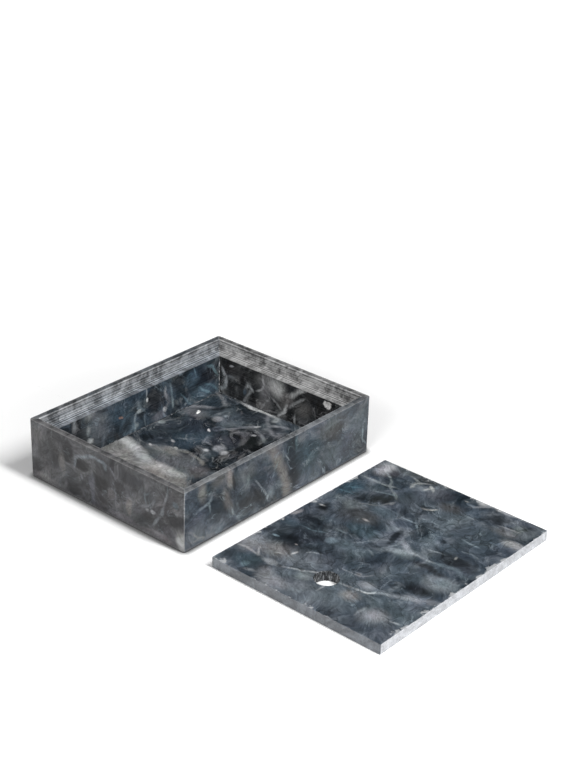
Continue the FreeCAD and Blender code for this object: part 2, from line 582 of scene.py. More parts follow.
def tint_and_grain(tree, flow, colour, tint, gain, grit):
    """Let the hue wander, then thin and thicken the pigment; gain sets how pale the piece comes out."""
    hue = add(tree, "ShaderNodeTexNoise",
              {"Vector": flow["moved"], "Scale": 1 / TINT_MM, "Detail": 1.0, "Roughness": 0.5})
    hue = add(tree, "ShaderNodeVectorMath",
              {0: hue.outputs["Color"], 1: (tint, tint, tint),
               2: (1 - tint / 2, 1 - tint / 2, 1 - tint / 2)}, operation="MULTIPLY_ADD")
    colour = add(tree, "ShaderNodeVectorMath", {0: colour, 1: hue.outputs[0]},
                 operation="MULTIPLY").outputs[0]
    grain = add(tree, "ShaderNodeTexNoise",
                {"Vector": flow["poured"], "Scale": 1 / GRAIN_MM, "Detail": 4.0, "Roughness": 0.72})
    density = add(tree, "ShaderNodeMath", {0: grain.outputs["Fac"], 1: grit, 2: flow["wisps"]},
                  operation="MULTIPLY_ADD")
    middle = 0.5 + 0.5 * grit
    level = add(tree, "ShaderNodeMapRange",
                {"Value": density.outputs[0], "From Min": middle - GRAIN_SPREAD,
                 "From Max": middle + GRAIN_SPREAD, "To Min": THIN * gain, "To Max": THICK * gain})
    return add(tree, "ShaderNodeVectorMath", {0: colour, "Scale": level.outputs[0]},
               operation="SCALE").outputs[0]


print("grain of", GRAIN_MM, "mm")


# %% The whole recipe
def stir_resin(tree, marks, offset, drift, smoke, vein, tint, gain, grit, drawn=(1.0, 1.0, 2.0),
               eddy=12, beaded=0.6, centre=(0, 0, 0), turn=(0, 0, 0)):
    """Build the solid marbling of one piece; return its colour, its place in mm and its wisps."""
    flow = stir_and_pour(tree, centre, turn, offset, drawn, eddy)
    colour = drift_and_smoke(tree, flow, drift, smoke)
    tear(tree, flow)
    for mark in marks:
        colour = lay_mark(tree, flow, colour, mark)
    colour = bead_with_drops(tree, flow, colour, beaded)
    colour = draw_veins(tree, flow, colour, vein)
    colour = tint_and_grain(tree, flow, colour, tint, gain, grit)
    return colour, flow["place"], flow["wisps"]


print("the recipe is ready for six pieces")

# %% [markdown]
# ## Sawn, milled and polished faces
#
# Cast acrylic has a refractive index of 1.49.  Polished, as inside the well, it shows a clear soft
# reflection; sanded, as outside, it turns satin; sawn or milled, it is frosted, because the cutter leaves
# the skin full of tiny scratches that scatter the light.  On a wall all three meet.  They could be
# separate slots, but the border between them would then be as sharp as the mesh.  Here each wall keeps
# one material that asks how far a point lies in from the outside and how high up it is.

# %% The skin of the resin
ACRYLIC_IOR = 1.49
SKIN_GLOSS = 0.3
BUMP_MM = 0.12
BUMP_STRENGTH = 0.35


def finish_resin(tree, colour, rough, bump_height):
    """Close a resin recipe: its colour, its roughness and a fine bump, under clear acrylic's gloss."""
    bump = add(tree, "ShaderNodeBump",
               {"Height": bump_height, "Strength": BUMP_STRENGTH, "Distance": BUMP_MM * MM})
    skin = add(tree, "ShaderNodeBsdfPrincipled",
               {"Base Color": colour, "Roughness": rough, "Normal": bump.outputs[0]})
    skin.inputs["IOR"].default_value = ACRYLIC_IOR
    skin.inputs["Specular IOR Level"].default_value = SKIN_GLOSS
    add(tree, "ShaderNodeOutputMaterial", {"Surface": skin.outputs[0]})


print("clear acrylic with an IOR of", ACRYLIC_IOR)

# %% Zones of a wall
REBATE_DEPTH = RIM_HEIGHT - LEDGE_HEIGHT
STEP_RUN = WALL_THICKNESS + REBATE_DEPTH


def wall_zones(tree, place):
    """Tell outside, milled and inside apart; return the shares and the measures that frost needs."""
    parts = add(tree, "ShaderNodeSeparateXYZ", {0: place})
    far_x = add(tree, "ShaderNodeMath", {0: parts.outputs["X"]}, operation="ABSOLUTE")
    far_y = add(tree, "ShaderNodeMath", {0: parts.outputs["Y"]}, operation="ABSOLUTE")
    in_x = add(tree, "ShaderNodeMath", {0: HALF_LONG, 1: far_x.outputs[0]}, operation="SUBTRACT")
    in_y = add(tree, "ShaderNodeMath", {0: HALF_SHORT, 1: far_y.outputs[0]}, operation="SUBTRACT")
    inward = add(tree, "ShaderNodeMath", {0: in_x.outputs[0], 1: in_y.outputs[0]},
                 operation="MINIMUM").outputs[0]
    mitre = add(tree, "ShaderNodeMath", {0: in_x.outputs[0], 1: in_y.outputs[0]},
                operation="SUBTRACT")
    mitre = add(tree, "ShaderNodeMath", {0: mitre.outputs[0]}, operation="ABSOLUTE").outputs[0]
    high = parts.outputs["Z"]
    shares = []
    # each border between two faces blurs over a few tenths of a millimetre, from start to end
    for value, start, end in ((inward, 0.7, 0.2), (high, RIM_HEIGHT - 0.1, RIM_HEIGHT - 0.5),
                              (inward, WALL_THICKNESS - 0.3, WALL_THICKNESS + 0.1),
                              (high, LEDGE_HEIGHT - 0.1, LEDGE_HEIGHT - 0.5)):
        share = add(tree, "ShaderNodeMapRange", {"Value": value, "From Min": start, "From Max": end},
                    interpolation_type="SMOOTHSTEP")
        shares.append(share.outputs[0])
    outside = add(tree, "ShaderNodeMath", {0: shares[0], 1: shares[1]}, operation="MULTIPLY")
    inside = add(tree, "ShaderNodeMath", {0: shares[2], 1: shares[3]}, operation="MULTIPLY")
    milled = add(tree, "ShaderNodeMath", {0: outside.outputs[0], 1: inside.outputs[0]},
                 operation="ADD")
    milled = add(tree, "ShaderNodeMath", {0: 1.0, 1: milled.outputs[0]}, operation="SUBTRACT",
                 use_clamp=True)
    # one measure runs across the rim, down the rebate and across the ledge
    down = add(tree, "ShaderNodeMath", {0: RIM_HEIGHT, 1: high}, operation="SUBTRACT")
    across = add(tree, "ShaderNodeMath", {0: down.outputs[0], 1: inward}, operation="ADD")
    return {"parts": parts, "high": high, "mitre": mitre, "outside": outside.outputs[0],
            "milled": milled.outputs[0], "across": across.outputs[0]}


print("from rim to well is", round(STEP_RUN, 1), "mm along the step")

# %% [markdown]
# ### The milled step
#
# The cutter went round rim, rebate and ledge in many passes.  Each leaves a fine line along its run, a
# streak where it dwelt and small ticks across it, and the frost between them is pale over smoke and dark
# over ink.  Cutting real grooves would cost thousands of faces for marks of a few hundredths of a
# millimetre, so they are drawn by one measure that runs over the step: a ramp with the tone of each
# pass, and a noise along that measure for the lines in between.  A few of the ramp's tones are painted
# light: a highlight along the edges of the rim, and shade in the corner where the ledge meets the rebate.

# %% The cutter's lines
LINES_PER_MM = 0.8
LINE_WEIGHT = 2.6
TICKS_PER_MM = 0.35
STREAKS_PER_MM = 0.07
STREAK_SQUEEZE = 0.7


def cutter_passes(rows):
    """Turn rows of (mm along the step, colour, share of frost) into the stops of a ramp."""
    return [(where / STEP_RUN, tone(hex_value)[:3] + (share,)) for where, hex_value, share in rows]


def cutter_lines(tree, zones, along, start):
    """Make the cutter's lines and ticks, and its broader streaks; start shifts their pattern."""
    lines = add(tree, "ShaderNodeTexNoise",
                {"W": zones["across"], "Scale": LINES_PER_MM, "Detail": 1.5, "Roughness": 0.8},
                noise_dimensions="1D")
    squeezed = add(tree, "ShaderNodeMath", {0: zones["across"], 1: STREAK_SQUEEZE},
                   operation="MULTIPLY")
    tick_place = add(tree, "ShaderNodeCombineXYZ",
                     {"X": zones["parts"].outputs[along], "Y": squeezed.outputs[0], "Z": start})
    ticks = add(tree, "ShaderNodeTexNoise",
                {"Vector": tick_place.outputs[0], "Scale": TICKS_PER_MM, "Detail": 4.0,
                 "Roughness": 0.65})
    streaks = add(tree, "ShaderNodeTexNoise",
                  {"Vector": tick_place.outputs[0], "Scale": STREAKS_PER_MM, "Detail": 4.0,
                   "Roughness": 0.6})
    cut_marks = add(tree, "ShaderNodeMath",
                    {0: lines.outputs["Fac"], 1: LINE_WEIGHT, 2: ticks.outputs["Fac"]},
                    operation="MULTIPLY_ADD")
    return cut_marks.outputs[0], streaks.outputs["Fac"]


print("cutter's lines about", round(1 / LINES_PER_MM, 2), "mm apart")

# %% Frost on the step
CUT_WEIGHT = 0.5
PIGMENT_LOW = 1.67
PIGMENT_HIGH = 2.13
FROST_DARKEST = 0.30
FROST_PALEST = 1.86
SEAM_SHOWS = 0.45
SEAM_MM = 0.45
SEAM_CORE_MM = 0.1


def frost_step(tree, zones, colour, wisps, passes, cut_marks, streaks):
    """Lay the frost of rim, rebate and ledge, with its painted highlight and shade, over the resin, with
    the glued mitre showing through.
    """
    step = add(tree, "ShaderNodeMath", {0: zones["across"], 1: STEP_RUN}, operation="DIVIDE")
    frost = add(tree, "ShaderNodeValToRGB", {"Fac": step.outputs[0]}, stops=cutter_passes(passes))
    pigment = add(tree, "ShaderNodeMath", {0: wisps, 1: streaks}, operation="ADD")
    pigment = add(tree, "ShaderNodeMath", {0: cut_marks, 1: CUT_WEIGHT, 2: pigment.outputs[0]},
                  operation="MULTIPLY_ADD")
    # clouds of the resin show through the frost, so it is pale over smoke and dark over ink
    level = add(tree, "ShaderNodeMapRange",
                {"Value": pigment.outputs[0], "From Min": PIGMENT_LOW, "From Max": PIGMENT_HIGH,
                 "To Min": FROST_DARKEST, "To Max": FROST_PALEST})
    frosted = add(tree, "ShaderNodeVectorMath", {0: frost.outputs[0], "Scale": level.outputs[0]},
                  operation="SCALE")
    frosted = add(tree, "ShaderNodeMix", {0: frost.outputs[1], 6: colour, 7: frosted.outputs[0]},
                  data_type="RGBA")
    glued = add(tree, "ShaderNodeMapRange",
                {"Value": zones["mitre"], "From Min": SEAM_MM, "From Max": SEAM_CORE_MM,
                 "To Max": SEAM_SHOWS},
                interpolation_type="SMOOTHSTEP")
    return add(tree, "ShaderNodeMix", {0: glued.outputs[0], 6: frosted.outputs[2], 7: tone(CLOUD)},
               data_type="RGBA").outputs[2]


print("mitres show through the frost at a share of", SEAM_SHOWS)

# %% A wall's resin
POLISHED = 0.16
SATIN = 0.42
FROSTED = 0.62
FOOT_HIGHLIGHT_TONE = "#8b8c8d"
FOOT_HIGHLIGHT_SHOWS = 0.5
FOOT_RAGGED = 7.0
FOOT_TOP = 6.6
FOOT_FULL = 3.2


def dress(node_name, material):
    """Give every slot of a CAD piece one material."""
    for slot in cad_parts[node_name].material_slots:
        slot.material = material


def wall_resin(node_name, along, passes, marks, **block):
    """One mitred wall: satin outside, frosted on rim, rebate and ledge, polished inside."""
    material = blank_material("cast_resin_" + node_name)
    tree = material.node_tree
    colour, place, wisps = stir_resin(tree, marks, **block)
    zones = wall_zones(tree, place)
    cut_marks, streaks = cutter_lines(tree, zones, along, block["offset"][0])
    frosted = frost_step(tree, zones, colour, wisps, passes, cut_marks, streaks)
    # painted highlight: the foot is painted paler, raggedly, a few millimetres up, where the bottom edge
    # catches light
    foot = add(tree, "ShaderNodeMath", {0: wisps, 1: FOOT_RAGGED, 2: zones["high"]},
               operation="MULTIPLY_ADD")
    foot = add(tree, "ShaderNodeMapRange",
               {"Value": foot.outputs[0], "From Min": FOOT_TOP, "From Max": FOOT_FULL},
               interpolation_type="SMOOTHSTEP")
    foot = add(tree, "ShaderNodeMath", {0: foot.outputs[0], 1: FOOT_HIGHLIGHT_SHOWS}, operation="MULTIPLY")
    colour = add(tree, "ShaderNodeMix", {0: foot.outputs[0], 6: colour, 7: tone(FOOT_HIGHLIGHT_TONE)},
                 data_type="RGBA").outputs[2]
    mixed = add(tree, "ShaderNodeMix", {0: zones["milled"], 6: colour, 7: frosted},
                data_type="RGBA")
    rough = add(tree, "ShaderNodeMapRange",
                {"Value": zones["outside"], "To Min": POLISHED, "To Max": SATIN})
    rough = add(tree, "ShaderNodeMix", {0: zones["milled"], 2: rough.outputs[0], 3: FROSTED},
                data_type="FLOAT")
    height = add(tree, "ShaderNodeMath", {0: cut_marks, 1: zones["milled"]}, operation="MULTIPLY")
    finish_resin(tree, mixed.outputs[2], rough.outputs[0], height.outputs[0])
    dress(node_name, material)
    print("resin on", node_name, "with", len(marks), "marks")


print("roughness: polished", POLISHED, "satin", SATIN, "frosted", FROSTED)

# %% [markdown]
# ## The four walls
#
# The walls come from different blocks: slate for the front, umber smoke for the left, dark slate for the
# back and nearly black for the right.  What makes each its own is given below: the tone of each cutter's
# pass with a little painted light among them, the drift of its pigments, and its marks.  A wall's place is
# given along its run and upwards, in millimetres from the middle of the box and from the table.

# %% Frost of the four walls
# rows of (mm along the step, colour, share of frost): the rim ends at 5.5 mm, the rebate at 14.5 mm and
# the ledge at 24.5 mm; the pale tone near 5.5 mm, at the rim's inner edge, and at 0 mm on the back and
# right rims is a painted highlight, and the dark tone just past 14.5 mm is painted shade in the corner
# where the ledge meets the rebate
FRONT_PASS_AND_LIGHT_TONES = [(0.0, "#6a6b6c", 0.60), (2.0, "#6c6d6e", 0.60), (4.4, "#707273", 0.65),
                (5.3, "#8a8b8c", 0.70), (6.2, "#6f7072", 0.70), (12.5, "#7c7d80", 0.70),
                (13.1, "#a2a3a5", 0.70), (14.5, "#626366", 0.70), (19.8, "#8b8d90", 0.70),
                (21.8, "#6c6e71", 0.65), (24.5, "#505256", 0.60)]
LEFT_PASS_AND_LIGHT_TONES = [(0.0, "#686868", 0.60), (2.5, "#606061", 0.60), (4.4, "#666667", 0.65),
               (5.3, "#858586", 0.70), (6.2, "#6f7072", 0.70), (12.5, "#7c7d80", 0.70),
               (13.1, "#a2a3a5", 0.70), (14.5, "#626366", 0.70), (19.8, "#8b8d90", 0.70),
               (21.8, "#6c6e71", 0.65), (24.5, "#505256", 0.60)]
BACK_PASS_AND_LIGHT_TONES = [(0.0, "#8a8a8a", 0.75), (0.8, "#58595a", 0.65), (2.6, "#575859", 0.65),
               (4.8, "#717274", 0.70), (5.5, "#9b9c9e", 0.80), (6.3, "#949698", 0.85),
               (8.4, "#8e9093", 0.85), (10.2, "#83868a", 0.85), (11.6, "#7b7e81", 0.85),
               (12.1, "#aeb1b5", 0.85), (12.6, "#7b7e81", 0.85), (13.6, "#7f8285", 0.85),
               (14.2, "#c3c6c9", 0.90), (14.8, "#63666a", 0.85), (15.6, "#797d80", 0.85),
               (16.3, "#abafb3", 0.88), (17.0, "#6b6f75", 0.85), (18.8, "#777b7f", 0.85),
               (19.4, "#9ca1a6", 0.85), (20.0, "#7f848a", 0.85), (22.0, "#898d94", 0.80),
               (23.4, "#81858a", 0.75), (24.5, "#5a5e62", 0.70)]
RIGHT_PASS_AND_LIGHT_TONES = [(0.0, "#8b8b8b", 0.75), (1.0, "#7b7b7b", 0.65), (3.0, "#7b7b7b", 0.65),
                (4.9, "#8b8b8b", 0.65), (5.5, "#a9a9a9", 0.80), (6.3, "#9f9f9f", 0.85),
                (9.0, "#a0a0a0", 0.85), (10.8, "#999999", 0.85), (11.3, "#bdbdbd", 0.85),
                (11.8, "#969696", 0.85), (13.4, "#a0a0a0", 0.85), (14.2, "#cccccc", 0.88),
                (14.8, "#7b7b7b", 0.85), (15.8, "#838383", 0.85), (16.4, "#b0b0b0", 0.85),
                (17.0, "#7d7d7d", 0.85), (19.2, "#8e8e8e", 0.85), (20.4, "#9d9d9d", 0.85),
                (21.0, "#b6b6b6", 0.85), (21.6, "#949494", 0.85), (23.4, "#8e8e8e", 0.85),
                (24.5, "#646464", 0.80)]
print("tones of", len(BACK_PASS_AND_LIGHT_TONES), "passes on the back wall")

# %% Drifts of the blocks
# from the darkest to the palest pigment; the base has its own, and the lid shares slate with the front
DRIFT_SLATE = [(0.34, tone("#1c252d")), (0.46, tone("#363f48")), (0.54, tone("#474f58")),
               (0.66, tone("#5d646b"))]
DRIFT_DARK = [(0.34, tone(INK)), (0.46, tone("#1a242c")), (0.56, tone("#303b45")),
              (0.68, tone("#4a5660"))]
DRIFT_BASE = [(0.34, tone("#0c0f11")), (0.46, tone("#1d2328")), (0.56, tone("#353c42")),
              (0.68, tone("#50565b"))]
DRIFT_BLACK = [(0.40, tone("#07090b")), (0.52, tone("#111417")), (0.62, tone("#26292b")),
               (0.74, tone("#47494b"))]
DRIFT_UMBER = [(0.34, tone("#2c2c2f")), (0.45, tone("#414144")), (0.55, tone("#505053")),
               (0.68, tone("#626265"))]
print("slate drifts between noise values", DRIFT_SLATE[0][0], "and", DRIFT_SLATE[-1][0])

# %% Marks on the front wall
FRONT_MARKS = marks_on(ACROSS, -HALF_SHORT, [
    (-100, 22, 8, 10, 0, "#2b333b", 0.73, 0.8),
    (-70, 22, 12, 9, 0, "#2a3239", 0.73, 0.8),
    (-40, 14, 11, 9, 0, "#26292b", 0.82, 0.8),
    (-26, 26, 8, 10, 35, "#2f3a43", 0.78, 0.8),
    (12, 26, 9, 22, 0, "#20272e", 0.85, 0.8),
    (15, 13, 4.5, 9, 0, "#101419", 0.85, 0.8),
    (33, 26, 13, 13, 0, "#3b4c54", 0.78, 0.8),
    (57, 42, 16, 7, 0, "#565b5e", 0.78, 0.8),
    (64, 35, 12, 6.5, 5, "#393b3c", 0.85, 0.8),
    (59, 16, 17, 8, 0, "#4f595f", 0.73, 0.8),
    (81, 11, 10, 6, 0, "#343b43", 0.78, 0.8),
    (92, 32, 12, 10, 0, "#4d565c", 0.73, 0.8),
    (-88, 44, 3.6, 8, 8, "#73716e", 0.85, 0.8),
    (-70, 46, 7, 6, 0, "#646463", 0.82, 0.8),
    (-58.5, 44, 3.6, 7.5, 12, "#8b8783", 0.89, 0.8),
    (-41, 40, 9, 7, 0, "#656a6e", 0.85, 0.8),
    (-60, 24, 3.4, 11, 22, "#5f5d5b", 0.82, 0.8),
    (-12, 46, 6.5, 6, 0, "#73706d", 0.87, 0.8),
    (-5.5, 36, 4.4, 9, 25, "#787471", 0.91, 0.8),
    (1.5, 22, 4.2, 9, 16, "#767370", 0.91, 0.8),
    (6, 8, 4.6, 8, 10, "#726f6b", 0.91, 0.8),
    (-14, 11, 4.2, 5, 0, "#6d777d", 0.85, 0.8),
    (-18, 42, 4, 4, 0, "#616c72", 0.78, 0.8),
    (-92, 10, 6, 8, 30, "#545a5f", 0.73, 0.8),
    (-27, 14, 3.4, 9, 35, "#101316", 0.89, 0.8),
    (-54, 36, 1.3, 9, 6, "#15191d", 0.61, 0.5),
    (-16.6, 9.8, 1.2, 1.7, 0, "#a9b1b5", 0.61, 0.4),
    (-55, 13.6, 1.5, 2.8, 10, "#8e979b", 0.60, 0.5),
])
FRONT_MARKS += wisps_on(ACROSS, -HALF_SHORT, [
    ("#93a1a6", 0.79, 1.2, [(-94, 28.6), (-87, 30.2), (-80.4, 33), (-79, 36)]),
    ("#8d9aa0", 0.75, 0.9, [(-81, 31), (-80.4, 25)]),
    ("#7b868c", 0.70, 0.9, [(-57, 18), (-52.6, 9), (-47.5, 2.6)]),
    ("#818d93", 0.75, 1.2, [(-38, 38), (-38, 28)]),
    ("#98a1a7", 0.81, 0.7, [(-29.6, 28), (-23, 19), (-18, 11.5), (-15.8, 7.4)]),
    ("#7b8a92", 0.77, 1.1, [(-11.4, 22.6), (-8.8, 29), (-5.4, 33)]),
    ("#aab2b5", 0.75, 0.5, [(4, 36), (8, 31)]),
    ("#647981", 0.75, 1.1, [(16.6, 50), (16.6, 38)]),
    ("#6b757a", 0.70, 1.0, [(50, 41), (60, 44), (73, 41)]),
    ("#666f73", 0.70, 1.2, [(50, 26), (62, 22.5), (76, 26)]),
    ("#8b99a0", 0.77, 0.9, [(97.8, 26), (99.4, 14), (104, 9.6)]),
    ("#7e8081", 0.70, 1.0, [(-98, 6), (-84, 4), (-78, 3)]),
    ("#8a8a89", 0.70, 0.9, [(-100, 14), (-90, 6), (-84, 3)]),
])
print("front wall has", len(FRONT_MARKS), "marks")

# %% Marks on the left wall
LEFT_MARKS = marks_on(SIDEWAYS, -HALF_LONG, [
    (62, 30, 16, 10, 0, "#3e3e3f", 0.70, 0.5),
    (40, 37, 5.6, 10, 8, "#19191b", 0.92, 0.4),
    (54, 27, 5, 7, 0, "#282829", 0.85, 0.5),
    (24, 31, 8, 5.5, -10, "#1b1a1c", 0.92, 0.4),
    (75, 12, 6, 6, 0, "#252527", 0.85, 0.5),
    (34, 8, 6, 5, 0, "#202023", 0.85, 0.5),
    (36, 18, 7, 7, 0, "#37383b", 0.75, 0.5),
    (4, 23, 7.6, 6.6, 0, "#201f21", 0.90, 0.4),
    (-1, 10, 8, 4, 0, "#2f2e30", 0.80, 0.5),
    (-17, 26, 5, 8, 0, "#343335", 0.80, 0.5),
    (-42, 11, 7, 5, 0, "#323438", 0.80, 0.5),
    (-28, 40, 12, 5, 0, "#35363b", 0.80, 0.5),
    (-47, 33, 8, 5, 0, "#393c40", 0.80, 0.5),
    (-74, 24, 10, 5.5, 0, "#242528", 0.90, 0.4),
    (-46, 18, 7, 4, 20, "#2d2d2f", 0.80, 0.5),
    (-70, 12, 7, 5, 0, "#55545a", 0.75, 0.5),
    (74, 40, 9, 7, 0, "#605f60", 0.80, 0.5),
    (46.5, 26, 3.4, 8, 0, "#676564", 0.85, 0.5),
    (60, 13, 12, 4, 0, "#585859", 0.75, 0.5),
    (64, 4, 16, 3.4, 0, "#707071", 0.80, 0.5),
    (13, 17, 3, 13, -8, "#5f6168", 0.85, 0.5),
    (-7.6, 20, 4.6, 5, 0, "#565457", 0.90, 0.2),
    (-26.5, 17, 3.4, 7, 0, "#73706e", 0.92, 0.3),
    (-38, 20, 4, 8, 60, "#56555a", 0.75, 0.5),
    (-80, 8, 4.5, 8, 0, "#a9a9a9", 0.90, 0.5),
    (-58, 4, 14, 3, 0, "#747275", 0.80, 0.5),
    (-20, 4, 12, 3, 0, "#69686c", 0.80, 0.5),
    (-74, 37, 3.4, 2.6, 0, "#5b656d", 0.85, 0.5),
    (-51.2, 22.2, 2.4, 1.7, 10, "#b4b8bb", 0.65, 0.5),
    (-45.8, 21.6, 1.8, 1.4, 0, "#9b9fa3", 0.61, 0.5),
    (25, 21.5, 1.4, 2.0, 0, "#757880", 0.58, 0.5),
])
LEFT_MARKS += wisps_on(SIDEWAYS, -HALF_LONG, [
    ("#9ca6ae", 0.72, 1.1, [(32.2, 27.5), (31.4, 35), (27.5, 39), (22, 40.2)]),
    ("#8d98a0", 0.70, 1.2, [(23, 39.6), (15, 42.2), (9, 43.8), (1, 42.4), (-1, 39)]),
    ("#84878d", 0.66, 0.9, [(-7, 41), (-11, 38), (-13.6, 34)]),
    ("#6c6d72", 0.62, 1.4, [(-6, 40), (-25, 31), (-35, 25.6), (-43, 21), (-47, 20.4)]),
    ("#7f8186", 0.66, 0.8, [(-11.4, 24), (-12.8, 10.6)]),
    ("#83868a", 0.62, 0.7, [(-24, 24.6), (-31, 21.6), (-31, 15), (-28, 9)]),
    ("#242324", 0.66, 0.6, [(-31.6, 20.5), (-30.6, 14), (-28, 8.6)]),
    ("#6c6c70", 0.66, 0.8, [(10.4, 16.4), (5, 8), (-5.6, 5.8), (-15.4, 6.6)]),
    ("#7c7d82", 0.62, 0.7, [(-4.4, 12.8), (-10.6, 9.8), (-17, 5)]),
    ("#898e93", 0.69, 1.3, [(-41, 22.8), (-45, 24.6), (-50, 28), (-53, 31)]),
    ("#768389", 0.62, 0.7, [(-45, 25), (-43.6, 34), (-47, 36)]),
    ("#768389", 0.62, 0.7, [(-49, 24), (-48, 31)]),
    ("#abb3b8", 0.72, 0.9, [(-63.4, 34.6), (-65.8, 43)]),
    ("#98a1a7", 0.70, 1.2, [(-52, 12.6), (-56, 18), (-59, 22), (-62, 28.5)]),
    ("#a4a6aa", 0.66, 0.8, [(-82, 15), (-78, 10), (-82, 4)]),
    ("#66686f", 0.62, 1.2, [(22, 6), (26, 11), (16, 12)]),
    ("#5e6e74", 0.55, 0.6, [(-67, 42), (-66, 50)]),
])
print("left wall has", len(LEFT_MARKS), "marks")

# %% Marks on the back wall
BACK_FACE = HALF_SHORT - WALL_THICKNESS
BACK_MARKS = marks_on(ACROSS, BACK_FACE, [
    (-50, 28, 12, 15, 0, "#505459", 0.85, 0.9),
    (-25, 32, 13, 10, 0, "#35444f", 0.75, 0.7),
    (-20, 14, 6, 5, 0, "#161c23", 0.85, 0.7),
    (15, 26, 7, 12, 0, "#0b0e12", 0.92, 0.7),
    (41, 33, 6, 8, 0, "#10151a", 0.88, 0.7),
    (76, 28, 11, 8, 0, "#12161e", 0.90, 0.7),
    (57, 30, 7, 8, 0, "#33434f", 0.85, 0.7),
    (72, 14, 14, 6, 0, "#41525e", 0.85, 0.7),
    (18, 11, 7, 3.4, 0, "#56575f", 0.80, 0.5),
    (-2, 19, 4, 4, 0, "#0e1216", 0.85, 0.7),
    (-58, 40, 4.6, 3.4, 0, "#85878a", 0.66, 0.9),
    (-75, 36, 1.8, 4.5, 0, "#8a8d91", 0.50, 0.9),
    (-60, 27.6, 1.9, 3.4, 0, "#94969a", 0.50, 0.9),
    (-57.8, 18, 2.4, 1.6, -40, "#c0c2c4", 0.60, 0.8),
    (-24.2, 25.4, 2.4, 0.9, -10, "#94776a", 0.61, 0.3),
    (6.0, 30.4, 1.3, 1.5, 0, "#c6c8c9", 0.9, 0.6),
    (-4.2, 23.8, 2.2, 1.3, 10, "#b4b9bc", 0.63, 0.5),
    (24.9, 14.6, 2.2, 2.2, 0, "#c2c5c6", 0.63, 0.5),
    (-7, 12, 1.4, 1.4, 0, "#8a8f94", 0.45, 0.8),
    (49, 11, 1.2, 1.2, 0, "#8b949a", 0.58, 0.5),
])
BACK_MARKS += wisps_on(ACROSS, BACK_FACE, [
    ("#979b9f", 0.88, 0.8, [(4.4, 41), (5.2, 33)]),
    ("#868f95", 0.88, 1.0, [(-8.8, 7), (-9.2, 17), (-7.2, 22), (-1, 23)]),
    ("#a4a9ac", 0.92, 1.2, [(25.6, 33), (25.2, 29.4), (28, 25)]),
    ("#6d6f72", 0.85, 1.8, [(27, 26), (30, 20), (26, 15)]),
    ("#748791", 0.88, 0.9, [(32.4, 33), (33.2, 21)]),
    ("#8b979d", 0.88, 1.0, [(33.2, 20), (34.2, 14)]),
    ("#6d8892", 0.88, 1.1, [(77, 36.6), (83, 34), (88, 27)]),
    ("#75909a", 0.88, 1.0, [(68, 18.4), (73, 15), (78.5, 10.6)]),
    ("#5f7984", 0.80, 0.9, [(75, 21), (81, 17), (88, 11)]),
    ("#5e747f", 0.80, 0.8, [(60, 40), (61.5, 32)]),
    ("#5f737d", 0.75, 0.8, [(46, 20), (52, 12), (56, 8)]),
    ("#626c73", 0.75, 0.9, [(2, 18), (3, 9)]),
])
print("back wall has", len(BACK_MARKS), "marks")

# %% Marks on the right wall
RIGHT_FACE = HALF_LONG - WALL_THICKNESS
RIGHT_MARKS = marks_on(SIDEWAYS, RIGHT_FACE, [
    (50, 33, 14, 6, 0, "#191617", 0.82, 0.8),
    (26, 34, 6, 9, 0, "#030405", 0.89, 0.8),
    (25, 12, 8, 4.5, 10, "#010203", 0.92, 0.8),
    (64, 21, 2, 5, 0, "#151b22", 0.58, 0.5),
    (8, 34, 12, 8, 0, "#7e7f7f", 0.89, 0.8),
    (2, 32, 7, 6, -30, "#b3b4b4", 0.89, 0.8),
    (16, 24, 5, 6, 20, "#707072", 0.82, 0.8),
    (15, 13, 7, 5, -20, "#5f5f60", 0.82, 0.8),
    (-8, 25, 8, 5, -30, "#636160", 0.82, 0.8),
    (-27, 22, 8, 6, -30, "#565554", 0.82, 0.8),
    (-14, 9, 6, 4, 0, "#020203", 0.95, 0.4),
    (-33, 37, 4, 5, 0, "#141415", 0.80, 0.5),
    (-44, 32, 3.4, 8, 0, "#020202", 0.95, 0.4),
    (-54, 30, 5, 6, 0, "#020202", 0.87, 0.8),
    (38.5, 17, 1.8, 3.4, 0, "#3a4a58", 0.61, 0.5),
    (52.4, 36.6, 2.6, 1.1, -15, "#a7aaae", 0.61, 0.5),
    (-53.0, 35.4, 2.0, 3.0, 20, CHALK, 1.0, 0.25),
    (-51.4, 37.2, 4.2, 1.5, -12, CHALK, 1.0, 0.25),
    (-49.4, 36.6, 1.5, 2.6, -20, CHALK, 1.0, 0.25),
])
RIGHT_MARKS += wisps_on(SIDEWAYS, RIGHT_FACE, [
    ("#b4b8bd", 0.92, 1.5, [(63.4, 29), (60.4, 23.6), (59.6, 17)]),
    ("#a2a7ab", 0.90, 1.7, [(60, 16.6), (62, 13), (66, 11)]),
    ("#7d8286", 0.85, 1.1, [(58, 25), (52, 26)]),
    ("#b0b4b7", 0.92, 1.7, [(37, 21.6), (33.6, 24.6), (31, 22)]),
    ("#919497", 0.88, 1.4, [(32, 20), (35, 14), (38.6, 8)]),
    ("#adaeb0", 0.88, 1.0, [(24, 23), (20, 25), (17, 30), (18, 38)]),
    ("#98999b", 0.85, 0.9, [(19, 9), (14, 16), (11, 18)]),
    ("#c8c9c9", 0.92, 1.9, [(-28, 41), (-20, 36.6), (-12, 31)]),
    ("#a6a8a9", 0.90, 1.2, [(-26.6, 32), (-19.4, 27.6), (-13.4, 22)]),
    ("#d2d4d5", 0.94, 1.5, [(-7.4, 19), (-6, 14), (-1.6, 8)]),
    ("#aaadaf", 0.88, 0.9, [(-17.8, 13.6), (-18, 6.8)]),
    ("#8b8c8e", 0.85, 0.8, [(8, 22), (2, 20), (-3, 16)]),
    ("#87888a", 0.85, 0.8, [(14, 8), (2, 10.6)]),
])
print("right wall has", len(RIGHT_MARKS), "marks")

